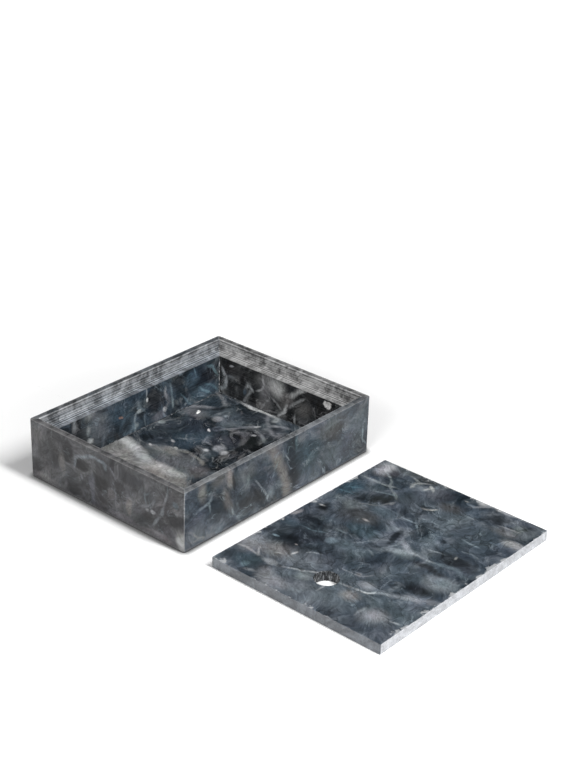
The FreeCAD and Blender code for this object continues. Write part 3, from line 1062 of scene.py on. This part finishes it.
# %% Lay the resin over the walls
wall_resin("wall_front", "X", FRONT_PASS_AND_LIGHT_TONES, FRONT_MARKS, offset=(310, 40, 10), drift=DRIFT_SLATE,
           smoke=(SMOKE, 0.4), vein=("#8a979e", 0.5), tint=0.16, gain=0.93, grit=0.9)
wall_resin("wall_left", "Y", LEFT_PASS_AND_LIGHT_TONES, LEFT_MARKS, offset=(20, 350, 70), drawn=(1.3, 1.2, 2.0),
           drift=DRIFT_UMBER, smoke=(SMOKE, 0.3), vein=("#7d858b", 0.4), tint=0.10, gain=0.70,
           grit=0.95)
wall_resin("wall_back", "X", BACK_PASS_AND_LIGHT_TONES, BACK_MARKS, offset=(90, 90, 160), drawn=(0.9, 1.3, 2.0),
           drift=DRIFT_DARK, smoke=(SMOKE, 0.35), vein=("#6f7c86", 0.5), tint=0.16, gain=1.38,
           grit=1.0)
wall_resin("wall_right", "Y", RIGHT_PASS_AND_LIGHT_TONES, RIGHT_MARKS, offset=(140, 60, 240), drawn=(1.0, 1.0, 1.8),
           drift=DRIFT_BLACK, smoke=(SMOKE, 0.4), vein=("#8d8d8e", 0.4), tint=0.06, gain=1.30,
           grit=1.2)

# %% [markdown]
# ## The base plate
#
# The base is a plate of the same resin, let in between the walls.  Only its polished upper face is seen
# from above.  One end was cut where the sheet had a pale, cloudy rim, and the rest is nearly black with
# white chips and grey flecks.  It takes the same recipe as the walls, without their zones.

# %% Marks on the base
FLOOR_MARKS = marks_on(UP, FLOOR_HEIGHT, [
    (-44, 24, 13, 50, -3, "#787775", 0.95, 0.3),
    (-36, 52, 13, 24, -8, "#737372", 0.90, 0.4),
    (-20, 10, 11, 30, -6, "#56585b", 0.80, 0.6),
    (-22, -16, 8, 8, 0, "#4c4b4c", 0.85, 0.5),
    (8, 53, 24, 14, 0, "#20262c", 0.88, 0.4),
    (-8, 54, 5, 5, 0, "#14181b", 0.85, 0.5),
    (14, 27, 20, 13, 0, "#303c46", 0.80, 0.5),
    (32, 40, 12, 12, 0, "#22282f", 0.80, 0.5),
    (75, 57, 10, 9, 0, "#232c33", 0.85, 0.5),
    (50, 57, 7, 12, 0, "#55575b", 0.80, 0.5),
    (77, 15, 11, 12, 0, "#1d2328", 0.88, 0.4),
    (66, 30, 8, 9, 0, "#343b41", 0.75, 0.5),
    (30, 2, 9, 12, 0, "#2c2f36", 0.80, 0.5),
    (44, -11, 9, 7, 0, "#101314", 0.92, 0.4),
    (33, -15, 6, 4, 0, "#191b1d", 0.88, 0.5),
    (66, -14, 14, 5, 0, "#25292e", 0.80, 0.5),
    (-25, 61, 4.6, 8, -12, "#9c9e9f", 0.86, 0.7),
    (-28, 50, 5.0, 6, -10, "#a2a4a5", 0.86, 0.7),
    (-32, 38, 4.4, 8, -16, "#929495", 0.86, 0.7),
    (-35, 27, 4.4, 8, -10, "#8a8b8c", 0.86, 0.7),
    (-36.4, 14, 5.4, 7, 0, "#9b9b9c", 0.84, 0.8),
    (-36, 2, 4.6, 7, 0, "#a0a0a0", 0.84, 0.8),
    (-35, -8, 3.6, 6, 10, "#929394", 0.84, 0.8),
    (-41, 33, 3.4, 4, 0, "#5b5b5b", 0.80, 0.5),
    (-12, 24, 4, 10, 0, "#6b6a6a", 0.80, 0.5),
    (-16, 36, 3.4, 7, 0, "#67686a", 0.80, 0.5),
    (17.4, 64, 2.8, 2.8, 0, "#707678", 0.85, 0.5),
    (54, 34.5, 4.2, 4.0, 0, "#85878a", 0.75, 0.6),
    (62.8, 33, 2.2, 2.2, 0, "#848d94", 0.58, 0.5),
    (42, 21.8, 4.4, 4.0, 0, "#5b616a", 0.60, 0.5),
    (42, 21.8, 2.4, 2.6, 0, "#181d24", 0.80, 0.5),
    (18, -1, 5, 5, 0, "#84878b", 0.80, 0.5),
    (14.5, -9, 3.4, 3, 30, "#949597", 0.88, 0.5),
    (89, 20, 3, 20, 0, "#9d9e9f", 0.92, 0.4),
    (84.6, -3, 3.6, 2.8, 0, "#7b7f82", 0.88, 0.5),
    (51.2, 54.0, 2.6, 1.0, 24, "#dededd", 1.0, 0.35),
    (53.0, 55.0, 1.0, 2.0, -50, "#dededd", 1.0, 0.35),
    (34.8, 25.6, 1.2, 2.6, -35, "#b4b5b6", 0.95, 0.5),
    (-7, 24.4, 1.0, 2.0, -20, "#b5b5b3", 0.65, 0.4),
    (1, 35, 1.3, 2.7, -25, "#a3a5a7", 0.61, 0.5),
    (-15.3, 42.8, 1.0, 1.8, -35, "#a8a8a8", 0.61, 0.4),
    (7.5, 4.2, 1.8, 2.8, 10, "#abadaf", 0.63, 0.5),
    (66.3, 1.2, 2.4, 1.5, -15, "#a9a9aa", 0.63, 0.5),
    (53, -6.8, 1.9, 1.8, 0, "#a3a5a7", 0.63, 0.5),
])
FLOOR_MARKS += wisps_on(UP, FLOOR_HEIGHT, [
    ("#93928d", 0.70, 1.5, [(-5.6, 17.4), (-4.2, 11), (-6.8, -1), (-10, -8)]),
    ("#8d8f90", 0.69, 1.2, [(-9, 30), (-7, 21), (-4, 17)]),
    ("#9c9da1", 0.70, 2.3, [(56.6, 64), (60.6, 59), (64.8, 53)]),
    ("#111417", 0.72, 2.4, [(55, 59.6), (62, 52), (72, 43)]),
    ("#8c8f92", 0.69, 1.9, [(86.6, 62), (83, 54), (78.4, 47.6)]),
    ("#888a91", 0.69, 1.6, [(45, 17.4), (53, 11), (61, 5), (66, 1.6)]),
    ("#717175", 0.66, 2.7, [(47, 9), (50.4, 0), (43.4, -5.4), (36, -9)]),
    ("#868a90", 0.66, 1.2, [(18, 9), (18.6, 16), (24, 18.6)]),
    ("#777c83", 0.62, 1.1, [(8, 34), (12, 28), (16, 24)]),
    ("#17191b", 0.70, 1.6, [(7, -4), (14, 4), (19, 8)]),
    ("#0d0f10", 0.72, 2.4, [(84, 1), (71.6, -10.6)]),
    ("#979b9f", 0.69, 1.8, [(74.8, -7), (78, -12), (80.6, -18)]),
    ("#8b9093", 0.69, 1.6, [(58.6, -9), (52.4, -18)]),
    ("#808184", 0.66, 1.5, [(68, -11), (64.6, -17)]),
    ("#77797d", 0.66, 1.6, [(84, 6), (77, -1), (70, -6)]),
])
print("base has", len(FLOOR_MARKS), "marks")

# %% Resin of the base
BASE_WAVE_MM = 9.0
BASE_DULLEST = 0.26

base_resin = blank_material("cast_resin_base_plate")
tree = base_resin.node_tree
colour, place, wisps = stir_resin(tree, FLOOR_MARKS, offset=(50, 410, 20), drift=DRIFT_BASE,
                                  smoke=("#6f6e6f", 0.4), vein=("#7f8183", 0.4), tint=0.12,
                                  gain=1.25, grit=0.9, eddy=10, beaded=0.3)
# the polish is a little duller in slow waves
fine = add(tree, "ShaderNodeTexNoise", {"Vector": place, "Scale": 1 / BASE_WAVE_MM, "Detail": 2.0})
rough = add(tree, "ShaderNodeMapRange",
            {"Value": fine.outputs["Fac"], "To Min": POLISHED, "To Max": BASE_DULLEST})
finish_resin(tree, colour, rough.outputs[0], fine.outputs["Fac"])
dress("base_plate", base_resin)
print("base dressed")

# %% [markdown]
# ## The lid
#
# The lid was sawn from the sheet and left with a satin face, so its marbling shows best: cells and drops
# of slate in smoke at the left, a nearly black zone beside them, and long veins that run across its short
# way.  Its cut edges are frosted and pale, and the front one, which faces the key light, is painted paler
# still as a painted highlight; the saw tore small bites out of its borders, and the drill left streaks
# down the wall of the finger hole.

# %% Marks on the lid
LID_MARKS = marks_on(UP, LID_THICKNESS, [
    (-86, 5, 14, 30, 0, "#5d6369", 0.69, 0.7),
    (-60, 30, 16, 20, 0, "#5b6065", 0.64, 0.7),
    (-62, -20, 22, 22, 0, "#525b62", 0.69, 0.7),
    (-68, -68, 26, 9, 0, "#4c545b", 0.69, 0.7),
    (-62, -52, 9, 13, 0, "#4a545b", 0.78, 0.7),
    (-94, -50, 5, 12, 0, "#363d44", 0.78, 0.7),
    (-86, 72, 12, 6, 0, "#2c343b", 0.86, 0.7),
    (-83.7, 56, 10.2, 11.6, 0, "#232930", 0.90, 0.7),
    (-83.9, 56, 8.4, 9.8, 0, "#3e4b53", 0.90, 0.7),
    (-88, 54, 3, 3, 0, "#61747b", 0.80, 0.5),
    (-64.5, 70, 10.5, 10, 0, "#787a7e", 0.90, 0.7),
    (-58, 50, 10.5, 10.5, 0, "#6a6968", 0.78, 0.7),
    (-44, 56, 9, 22, 0, "#1b2127", 0.90, 0.7),
    (-27, 52, 14, 20, 0, "#242a30", 0.83, 0.7),
    (-41, 50, 5, 8, 0, "#12161a", 0.83, 0.7),
    (-10, 58, 6, 15, 0, "#1d2228", 0.83, 0.7),
    (-35, 27, 10, 8, 0, "#252c32", 0.78, 0.7),
    (-36, 8, 7, 12, 0, "#353e45", 0.73, 0.7),
    (-75, 43.5, 2.8, 7, 0, "#858a8e", 0.85, 0.5),
    (-92, 25, 6, 11, 0, "#82858a", 0.83, 0.7),
    (-88, 37, 7, 5, 0, "#7b7e82", 0.78, 0.7),
    (-77.6, 25.4, 5.2, 5.2, 0, "#39424a", 0.83, 0.7),
    (-77.6, 25.4, 4.2, 4.2, 0, "#636c73", 0.90, 0.7),
    (-70.9, 13.8, 6.6, 7.0, 0, "#232a2f", 0.90, 0.7),
    (-71.1, 13.8, 5.5, 6.0, 0, "#6f7779", 0.93, 0.7),
    (-74.2, 35.3, 1.5, 1.2, 0, "#101316", 0.65, 0.4),
    (-69.3, -25.2, 5.8, 6.2, 0, "#797877", 0.78, 0.7),
    (-52, -26.3, 4.7, 6.0, 0, "#787b80", 0.73, 0.7),
    (-78, -52, 9.6, 10.6, 0, "#2c3238", 0.83, 0.7),
    (-78.4, -52, 8.4, 9.4, 0, "#6d7277", 0.90, 0.7),
    (-75, -54, 5.6, 6.4, 0, "#8f9095", 0.60, 0.9),
    (-78, -42.6, 6, 1.2, 0, "#9ba0a5", 0.41, 0.7),
    (-31, -53, 6.0, 9.5, -8, "#171a1e", 0.92, 0.7),
    (-28, -62, 5.0, 6, 0, "#212529", 0.88, 0.7),
    (-13.7, -61, 8.2, 11, 0, "#858b90", 0.83, 0.7),
    (-12.5, -63, 6.0, 9.5, 0, "#6a747b", 0.88, 0.7),
    (-20, 12, 8, 13, 0, "#505b62", 0.88, 0.7),
    (-23, 30.3, 3.4, 3.6, 20, "#64717a", 0.88, 0.5),
    (-24, 67, 4.5, 6, 0, "#3f4b54", 0.83, 0.7),
    (-20, -38, 10, 12, 0, "#3e484f", 0.73, 0.7),
    (-45, 63.8, 1.1, 2.8, 25, "#6f8089", 0.63, 0.3),
    (-61.5, 46.4, 1.0, 2.2, 25, "#b7b8b8", 0.44, 0.7),
    (-54.2, 38.7, 2.0, 0.9, -12, "#d8d8d6", 0.45, 0.7),
    (-44.3, 44.8, 0.8, 1.0, 0, "#928e8c", 0.61, 0.4),
    (-92.4, 47, 1.5, 4, 10, "#9ea1a4", 0.42, 0.7),
    (-10, 74.5, 4.6, 1.8, -15, "#b5b2b1", 0.44, 0.7),
    (-43, -13.6, 1.8, 1.8, 0, "#686766", 0.58, 0.5),
    (2, -18, 7, 9, 0, "#5f696f", 0.78, 0.7),
    (19, 44, 12, 12, 0, "#37383a", 0.78, 0.7),
    (18, 30, 10, 8, 0, "#454749", 0.78, 0.7),
    (4, 22, 7, 12, 0, "#3d4c54", 0.78, 0.7),
    (10, 66, 4.5, 4.5, 0, "#15191c", 0.88, 0.7),
    (11, 67.4, 0.9, 2.0, 0, "#c4c6c6", 0.44, 0.7),
    (46, 67, 11, 8, 0, "#2f434d", 0.88, 0.7),
    (41, 54, 7, 5, 0, "#1c2024", 0.83, 0.7),
    (28, 51.5, 5.6, 7.4, 0, "#70777a", 0.88, 0.7),
    (28.4, 50.6, 4.2, 5.6, 0, "#4a5154", 0.88, 0.7),
    (48, 40, 10.5, 7.5, -32, "#1f2222", 0.92, 0.7),
    (35, 29, 5.2, 11, 0, "#4d5860", 0.83, 0.7),
    (48.8, 30, 2.2, 1.4, 0, "#9ba0a1", 0.42, 0.7),
    (60, 52, 5.5, 7, 0, "#353f46", 0.83, 0.7),
    (66.9, 51, 1.0, 4.2, 0, "#101418", 0.61, 0.5),
    (78, 45, 7, 5, 0, "#39424a", 0.78, 0.7),
    (88, 67, 10, 8, 0, "#96989b", 0.88, 0.7),
    (88.2, 57, 7.0, 5.6, 0, "#35353a", 0.92, 0.7),
    (96, 36, 4, 22, 0, "#4c5051", 0.73, 0.7),
    (62, 20, 12, 12, 0, "#454c53", 0.73, 0.7),
    (56, -14, 16, 16, 0, "#4b5359", 0.78, 0.7),
    (74, -5, 6, 9, 0, "#474849", 0.83, 0.7),
    (86, 12, 8, 9, 0, "#464850", 0.78, 0.7),
    (12.7, -1.2, 11, 3.0, 15, "#1a2025", 0.92, 0.4),
    (17, -52, 8, 17, 0, "#202428", 0.90, 0.7),
    (-3.6, -44, 3.4, 14, 0, "#2a2c30", 0.80, 0.5),
    (25, -24, 9, 6, 0, "#556066", 0.78, 0.7),
    (48, -42, 18, 16, 0, "#414b52", 0.78, 0.7),
    (73.8, -56, 5.0, 10, 0, "#606263", 0.83, 0.7),
    (86, -40, 8.2, 9, 0, "#22272c", 0.90, 0.7),
    (84, -62, 6, 6, 0, "#59615f", 0.78, 0.7),
    (98.5, -42, 2.6, 11, 0, "#96999c", 0.88, 0.5),
    (96.5, -19.7, 3.4, 4.0, 0, "#a2a2a2", 0.80, 0.6),
    (63.8, -70.5, 4.4, 8.5, 0, "#979797", 0.78, 0.7),
    (84, -70, 9, 4, 0, "#697076", 0.78, 0.7),
    (16.5, 29.4, 1.0, 3.0, -4, "#b9b6b3", 0.44, 0.7),
    (91, -9, 0.9, 1.6, 0, "#b1b2b1", 0.44, 0.7),
    (21, -50.8, 1.8, 0.9, 25, "#b3b5b2", 0.44, 0.7),
    (64.6, 1.4, 1.3, 2.8, 35, "#c6c6c4", 0.45, 0.7),
])
LID_MARKS += wisps_on(UP, LID_THICKNESS, [
    ("#b2b3b4", 0.78, 1.0, [(-73.2, 76), (-73.1, 57)]),
    ("#b5b6b6", 0.77, 0.9, [(-65, 61), (-68, 59.6), (-72.8, 56)]),
    ("#bcc0c2", 0.78, 0.9, [(-72.6, 30), (-69.3, 21.4), (-64.6, 14.8), (-61, 8)]),
    ("#191f23", 0.77, 0.8, [(-70.6, 31), (-67, 20), (-62, 15)]),
    ("#9aa2a7", 0.75, 0.9, [(-48, 31), (-45.6, 28), (-43.4, 23.4)]),
    ("#687a84", 0.72, 0.8, [(-22.6, 58), (-21.6, 49), (-19, 42)]),
    ("#7f8f97", 0.75, 1.0, [(-8.2, 37), (-8.4, 30)]),
    ("#828c92", 0.75, 1.0, [(-12, 15), (-8, 11.6), (-3.4, 8)]),
    ("#7d868c", 0.72, 0.9, [(-15, 2), (-18, -4)]),
    ("#acafb2", 0.72, 0.6, [(-78, -5.8), (-71.5, -6.3)]),
    ("#acb0b3", 0.78, 0.9, [(-62, -10.8), (-60.6, -22), (-59, -30)]),
    ("#ccd0d1", 0.80, 1.1, [(-59.4, -29), (-57.4, -33.4), (-54.4, -35.6)]),
    ("#9da3a8", 0.77, 1.5, [(-54.8, -35.2), (-51, -41), (-48, -47)]),
    ("#8a9197", 0.75, 2.5, [(-49.4, -44), (-45.6, -53), (-42, -61)]),
    ("#8d9196", 0.72, 3.7, [(-42.6, -60), (-39, -67), (-35, -76)]),
    ("#9aa0a6", 0.75, 0.8, [(-45.6, -1), (-46, -9), (-44.4, -16.4), (-38.6, -20.6)]),
    ("#868d93", 0.72, 0.7, [(-43, -9.6), (-41.4, -14), (-43.8, -17.6)]),
    ("#a6acb0", 0.75, 0.8, [(-74.6, -65), (-72.8, -71)]),
    ("#1c2126", 0.72, 1.0, [(-70.2, -44), (-68.6, -52), (-69.6, -58)]),
    ("#878f95", 0.72, 2.5, [(-1.6, -8), (-1.4, -20)]),
    ("#9fa8ae", 0.78, 2.8, [(-3, -10.8), (3.6, -22)]),
    ("#a3a7af", 0.78, 2.1, [(12.7, -9.4), (4.6, -21)]),
    ("#a0a7ac", 0.78, 1.1, [(4, -22), (4.8, -32), (5.4, -42)]),
    ("#77868e", 0.75, 1.7, [(6.2, -46), (8.2, -52), (9.2, -58), (5, -66)]),
    ("#8b969c", 0.75, 1.0, [(0.4, -6.2), (7, -8), (13, -8.6)]),
    ("#87959d", 0.75, 0.7, [(39.3, 13.7), (38.4, -0.6), (34, -5), (29.4, -9.6)]),
    ("#647077", 0.68, 0.7, [(40.6, 32), (40.8, 14)]),
    ("#838f96", 0.72, 0.8, [(47.4, 0), (49.4, -6), (49, -13)]),
    ("#93a3aa", 0.77, 1.0, [(44.8, -40.6), (43, -52)]),
    ("#8c9597", 0.77, 0.9, [(57, 34), (63.8, 42.4), (68.2, 46.2), (75, 50.6), (84, 62.4)]),
    ("#767a7b", 0.75, 0.8, [(33.4, 47.6), (41, 35), (51, 30.4)]),
    ("#7f9097", 0.72, 0.9, [(54.8, 50.6), (57, 44), (59.2, 38)]),
    ("#979fa1", 0.77, 1.3, [(66.8, 71), (68, 58), (69.3, 45)]),
    ("#5f7f8b", 0.68, 0.8, [(38.6, 73), (40, 62)]),
    ("#5b7a86", 0.68, 0.8, [(46, 70), (51, 64)]),
    ("#c0c3c1", 0.78, 1.1, [(79.4, 34.6), (84.8, 37), (89.2, 32.8)]),
    ("#c8cbc8", 0.80, 1.1, [(82.6, 26), (87, 22.8), (89.4, 24)]),
    ("#c2c5c3", 0.78, 1.0, [(89, 23), (85, 19)]),
    ("#a5abab", 0.72, 1.1, [(91.6, 44), (89, 34), (92, 28)]),
    ("#b9b9b7", 0.78, 1.0, [(60.8, 9), (62.4, 5), (63.8, 2)]),
    ("#13171a", 0.77, 1.1, [(26.2, 21), (23.4, 16), (22.6, 12)]),
    ("#939597", 0.75, 1.5, [(88.6, -17.6), (99, -30)]),
    ("#23282d", 0.72, 0.9, [(86.6, -19), (97, -32)]),
    ("#989b9b", 0.75, 0.9, [(79.4, -48), (80, -62)]),
    ("#0f1316", 0.78, 1.1, [(81, -48), (81.6, -61.6), (90, -64.4)]),
    ("#7d878d", 0.72, 0.9, [(73, -19), (74, -29)]),
    ("#8a9298", 0.72, 1.0, [(16, -29), (18, -38)]),
    ("#7d888e", 0.68, 0.9, [(30, -46), (33, -56), (31, -62)]),
])
print("lid has", len(LID_MARKS), "marks")

# %% Stir the lid's resin
lid_resin = blank_material("cast_resin_lid")
tree = lid_resin.node_tree
colour, place, wisps = stir_resin(tree, LID_MARKS, offset=(200, 130, 90), drift=DRIFT_SLATE,
                                  smoke=("#6f7478", 0.4), vein=("#7f8a92", 0.4), tint=0.10,
                                  gain=0.97, grit=0.9, eddy=6, beaded=1.0,
                                  centre=(LID_CENTRE.x, LID_CENTRE.y, 0), turn=(0, 0, LID_TURN))
parts = add(tree, "ShaderNodeSeparateXYZ", {0: place})
far_x = add(tree, "ShaderNodeMath", {0: parts.outputs["X"]}, operation="ABSOLUTE")
far_y = add(tree, "ShaderNodeMath", {0: parts.outputs["Y"]}, operation="ABSOLUTE")
out_x = add(tree, "ShaderNodeMath", {0: far_x.outputs[0], 1: LID_LONG / 2}, operation="SUBTRACT")
out_y = add(tree, "ShaderNodeMath", {0: far_y.outputs[0], 1: LID_SHORT / 2}, operation="SUBTRACT")
outward = add(tree, "ShaderNodeMath", {0: out_x.outputs[0], 1: out_y.outputs[0]},
              operation="MAXIMUM")
print("lid's pattern turned by", round(math.degrees(LID_TURN), 2), "degrees")

# %% Torn borders of the lid
BITES_PER_MM = 0.07
BITE_REACH = 30.0
TORN_FROM = 14.0
TORN_FULL = 16.2
TORN_SHOWS = 0.75

# the saw tore the borders into ragged, frosted bites up to 3 mm wide
bites = add(tree, "ShaderNodeTexNoise",
            {"Vector": place, "Scale": BITES_PER_MM, "Detail": 6.0, "Roughness": 0.72})
reach = add(tree, "ShaderNodeMath", {0: bites.outputs["Fac"], 1: BITE_REACH, 2: outward.outputs[0]},
            operation="MULTIPLY_ADD")
strip = add(tree, "ShaderNodeMapRange",
            {"Value": reach.outputs[0], "From Min": TORN_FROM, "From Max": TORN_FULL},
            interpolation_type="SMOOTHSTEP")
strip = add(tree, "ShaderNodeMath", {0: strip.outputs[0], 1: TORN_SHOWS}, operation="MULTIPLY")
torn_edge = add(tree, "ShaderNodeMix", {0: strip.outputs[0], 6: colour, 7: tone("#b3b5b7")},
                data_type="RGBA")
print("torn borders show at", TORN_SHOWS)

# %% Wall of the finger hole
DRILL_LINES_PER_MM = 0.75
DRILL_DRAWN = 0.25
BORE_FROM = 0.35
BORE_FULL = 0.1

# streaks of the drill run down the bore, so the noise is read four times slower along the drill's way
from_hole = add(tree, "ShaderNodeVectorMath",
                {0: place, 1: (HOLE_AT, 0.0, 0.0)}, operation="SUBTRACT")
flat = add(tree, "ShaderNodeVectorMath", {0: from_hole.outputs[0], 1: (1.0, 1.0, DRILL_DRAWN)},
           operation="MULTIPLY")
round_way = add(tree, "ShaderNodeVectorMath", {0: from_hole.outputs[0], 1: (1.0, 1.0, 0.0)},
                operation="MULTIPLY")
radius = add(tree, "ShaderNodeVectorMath", {0: round_way.outputs[0]}, operation="LENGTH")
bore = add(tree, "ShaderNodeMapRange",
           {"Value": radius.outputs["Value"], "From Min": HOLE_RADIUS + BORE_FROM,
            "From Max": HOLE_RADIUS + BORE_FULL}, interpolation_type="SMOOTHSTEP")
streak = add(tree, "ShaderNodeTexNoise",
             {"Vector": flat.outputs[0], "Scale": DRILL_LINES_PER_MM, "Detail": 4.0, "Roughness": 0.75})
bored = add(tree, "ShaderNodeValToRGB", {"Fac": streak.outputs["Fac"]},
            stops=[(0.38, tone("#07090b")), (0.50, tone("#2a2d30")), (0.60, tone("#6d7073")),
                   (0.72, tone("#b5b7b9"))])
print("hole of", 2 * HOLE_RADIUS, "mm, its centre", HOLE_FROM_END, "mm from the lid's end")

# %% Sawn edges of the lid
LID_SATIN = 0.34
LID_SAWN = 0.6
SAW_LINES_PER_MM = 0.6
RUBBED_LOW = 0.72
RUBBED_HIGH = 1.28
EDGE_DARKEST = 0.62
EDGE_PALEST = 1.28
EDGE_FROST = 0.5
FRONT_EDGE_HIGHLIGHT_SHARE = 0.9

# painted highlight: the front edge, which faces the key light, is painted the palest
edge = add(tree, "ShaderNodeMapRange",
           {"Value": outward.outputs[0], "From Min": -0.5, "From Max": -0.1},
           interpolation_type="SMOOTHSTEP").outputs[0]
front_edge = add(tree, "ShaderNodeMapRange",
                 {"Value": parts.outputs["Y"], "From Min": -LID_SHORT / 2 + 0.6,
                  "From Max": -LID_SHORT / 2 + 0.1}, interpolation_type="SMOOTHSTEP").outputs[0]
saw = add(tree, "ShaderNodeTexNoise",
          {"Vector": place, "Scale": SAW_LINES_PER_MM, "Detail": 4.0, "Roughness": 0.7})
# c6c8cc is the front edge's painted highlight, #87898c the frost of the other sawn edges
pale = add(tree, "ShaderNodeMix", {0: front_edge, 6: tone("#87898c"), 7: tone("#c6c8cc")},
           data_type="RGBA")
rubbed = add(tree, "ShaderNodeMath", {0: saw.outputs["Fac"], 1: wisps}, operation="ADD")
level = add(tree, "ShaderNodeMapRange",
            {"Value": rubbed.outputs[0], "From Min": RUBBED_LOW, "From Max": RUBBED_HIGH,
             "To Min": EDGE_DARKEST, "To Max": EDGE_PALEST})
pale = add(tree, "ShaderNodeVectorMath", {0: pale.outputs[2], "Scale": level.outputs[0]},
           operation="SCALE")
# the front edge takes more of its pale tone, as part of the same painted highlight
frosted = add(tree, "ShaderNodeMapRange",
              {"Value": front_edge, "To Min": EDGE_FROST, "To Max": FRONT_EDGE_HIGHLIGHT_SHARE})
pale = add(tree, "ShaderNodeMix", {0: frosted.outputs[0], 6: colour, 7: pale.outputs[0]},
           data_type="RGBA")
mixed = add(tree, "ShaderNodeMix", {0: edge, 6: torn_edge.outputs[2], 7: pale.outputs[2]},
            data_type="RGBA")
mixed = add(tree, "ShaderNodeMix", {0: bore.outputs[0], 6: mixed.outputs[2], 7: bored.outputs[0]},
            data_type="RGBA")
rough = add(tree, "ShaderNodeMapRange", {"Value": edge, "To Min": LID_SATIN, "To Max": LID_SAWN})
finish_resin(tree, mixed.outputs[2], rough.outputs[0], saw.outputs["Fac"])
dress("lid", lid_resin)
print("lid dressed")

# %% [markdown]
# ## Glue beads
#
# The mitred walls and the base are joined with solvent cement, which creeps out of each inside corner and
# sets as a thin, slightly hollow bead.  In the upright corners it has turned milky and broken, and catches
# the light as a fine line; along the base it stayed nearly clear, so that the dark resin shows through.
# A curve with a bevel would make a round cord; a bead lies in a corner, so one profile of five points,
# with a hollow face, is drawn out along each joint.

# %% Two cements
CEMENT_LUMP_MM = 3.0
CEMENT_ROUGH = 0.3


def cement(name, cloudy):
    """Set solvent cement: its stops say how milky it is where it is thin and where it is thick."""
    material = blank_material(name)
    tree = material.node_tree
    spot = add(tree, "ShaderNodeTexCoord")
    lumps = add(tree, "ShaderNodeTexNoise",
                {"Vector": spot.outputs["Object"], "Scale": 1 / (CEMENT_LUMP_MM * MM), "Detail": 4.0,
                 "Roughness": 0.7})
    milky = add(tree, "ShaderNodeValToRGB", {"Fac": lumps.outputs["Fac"]}, stops=cloudy)
    # cement is dissolved acrylic, so it has the same gloss, a little duller where it dried in lumps
    finish_resin(tree, milky.outputs[0], CEMENT_ROUGH, lumps.outputs["Fac"])
    return material


milky_cement = cement("milky_cement", [(0.40, tone("#3a3d40")), (0.50, tone("#85888b")),
                                       (0.60, tone("#c4c5c7"))])
clear_cement = cement("clear_cement", [(0.40, tone("#1d2022")), (0.52, tone("#46494c")),
                                       (0.64, tone("#7b7d80"))])
print("milky and clear cement, lumps of", CEMENT_LUMP_MM, "mm")

# %% Draw out the beads
CORNER_LEG = 0.55
BASE_LEG = 0.45
BEAD_CLEARANCE = 0.02
BELOW_LEDGE = 0.2
BELOW_RIM = 0.6
HOLLOW = 0.28
HOLLOW_BULGE = 1.7


def glue_bead(name, start, end, leg_a, leg_b, size, material):
    """Draw a hollow triangular bead from start to end; its two legs lie on the glued faces."""
    shape = bmesh.new()
    corner = start + (leg_a + leg_b) * BEAD_CLEARANCE
    hollow = size * HOLLOW
    profile = [corner, corner + leg_a * size, corner + (leg_a * HOLLOW_BULGE + leg_b) * hollow,
               corner + (leg_a + leg_b * HOLLOW_BULGE) * hollow, corner + leg_b * size]
    face = shape.faces.new([shape.verts.new(point * MM) for point in profile])
    drawn = bmesh.ops.extrude_face_region(shape, geom=[face])
    points = [item for item in drawn["geom"] if isinstance(item, bmesh.types.BMVert)]
    bmesh.ops.translate(shape, verts=points, vec=(end - start) * MM)
    bmesh.ops.recalc_face_normals(shape, faces=shape.faces)
    mesh = bpy.data.meshes.new(name)
    shape.to_mesh(mesh)
    shape.free()
    bead = bpy.data.objects.new(name, mesh)
    bpy.context.scene.collection.objects.link(bead)
    mesh.materials.append(material)
    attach(bead, "box")


WELL_X = HALF_LONG - WALL_THICKNESS
WELL_Y = HALF_SHORT - WALL_THICKNESS
REBATE_X = HALF_LONG - RIM_WIDTH
REBATE_Y = HALF_SHORT - RIM_WIDTH
for side_x, side_y, corner_name in ((-1, -1, "front_left"), (1, -1, "front_right"),
                                    (1, 1, "back_right"), (-1, 1, "back_left")):
    inward_x = Vector((-side_x, 0, 0))
    inward_y = Vector((0, -side_y, 0))
    glue_bead("corner_bead_" + corner_name,
              Vector((side_x * WELL_X, side_y * WELL_Y, FLOOR_HEIGHT)),
              Vector((side_x * WELL_X, side_y * WELL_Y, LEDGE_HEIGHT - BELOW_LEDGE)),
              inward_x, inward_y, CORNER_LEG, milky_cement)
    glue_bead("rebate_bead_" + corner_name,
              Vector((side_x * REBATE_X, side_y * REBATE_Y, LEDGE_HEIGHT)),
              Vector((side_x * REBATE_X, side_y * REBATE_Y, RIM_HEIGHT - BELOW_RIM)),
              inward_x, inward_y, CORNER_LEG, milky_cement)
UPWARD = Vector((0, 0, 1))
for side, side_name in ((-1, "front"), (1, "back")):
    glue_bead("base_bead_" + side_name,
              Vector((-WELL_X, side * WELL_Y, FLOOR_HEIGHT)),
              Vector((WELL_X, side * WELL_Y, FLOOR_HEIGHT)),
              Vector((0, -side, 0)), UPWARD, BASE_LEG, clear_cement)
for side, side_name in ((-1, "left"), (1, "right")):
    glue_bead("base_bead_" + side_name,
              Vector((side * WELL_X, -WELL_Y, FLOOR_HEIGHT)),
              Vector((side * WELL_X, WELL_Y, FLOOR_HEIGHT)),
              Vector((-side, 0, 0)), UPWARD, BASE_LEG, clear_cement)
print("12 glue beads,", CORNER_LEG, "and", BASE_LEG, "mm legs")
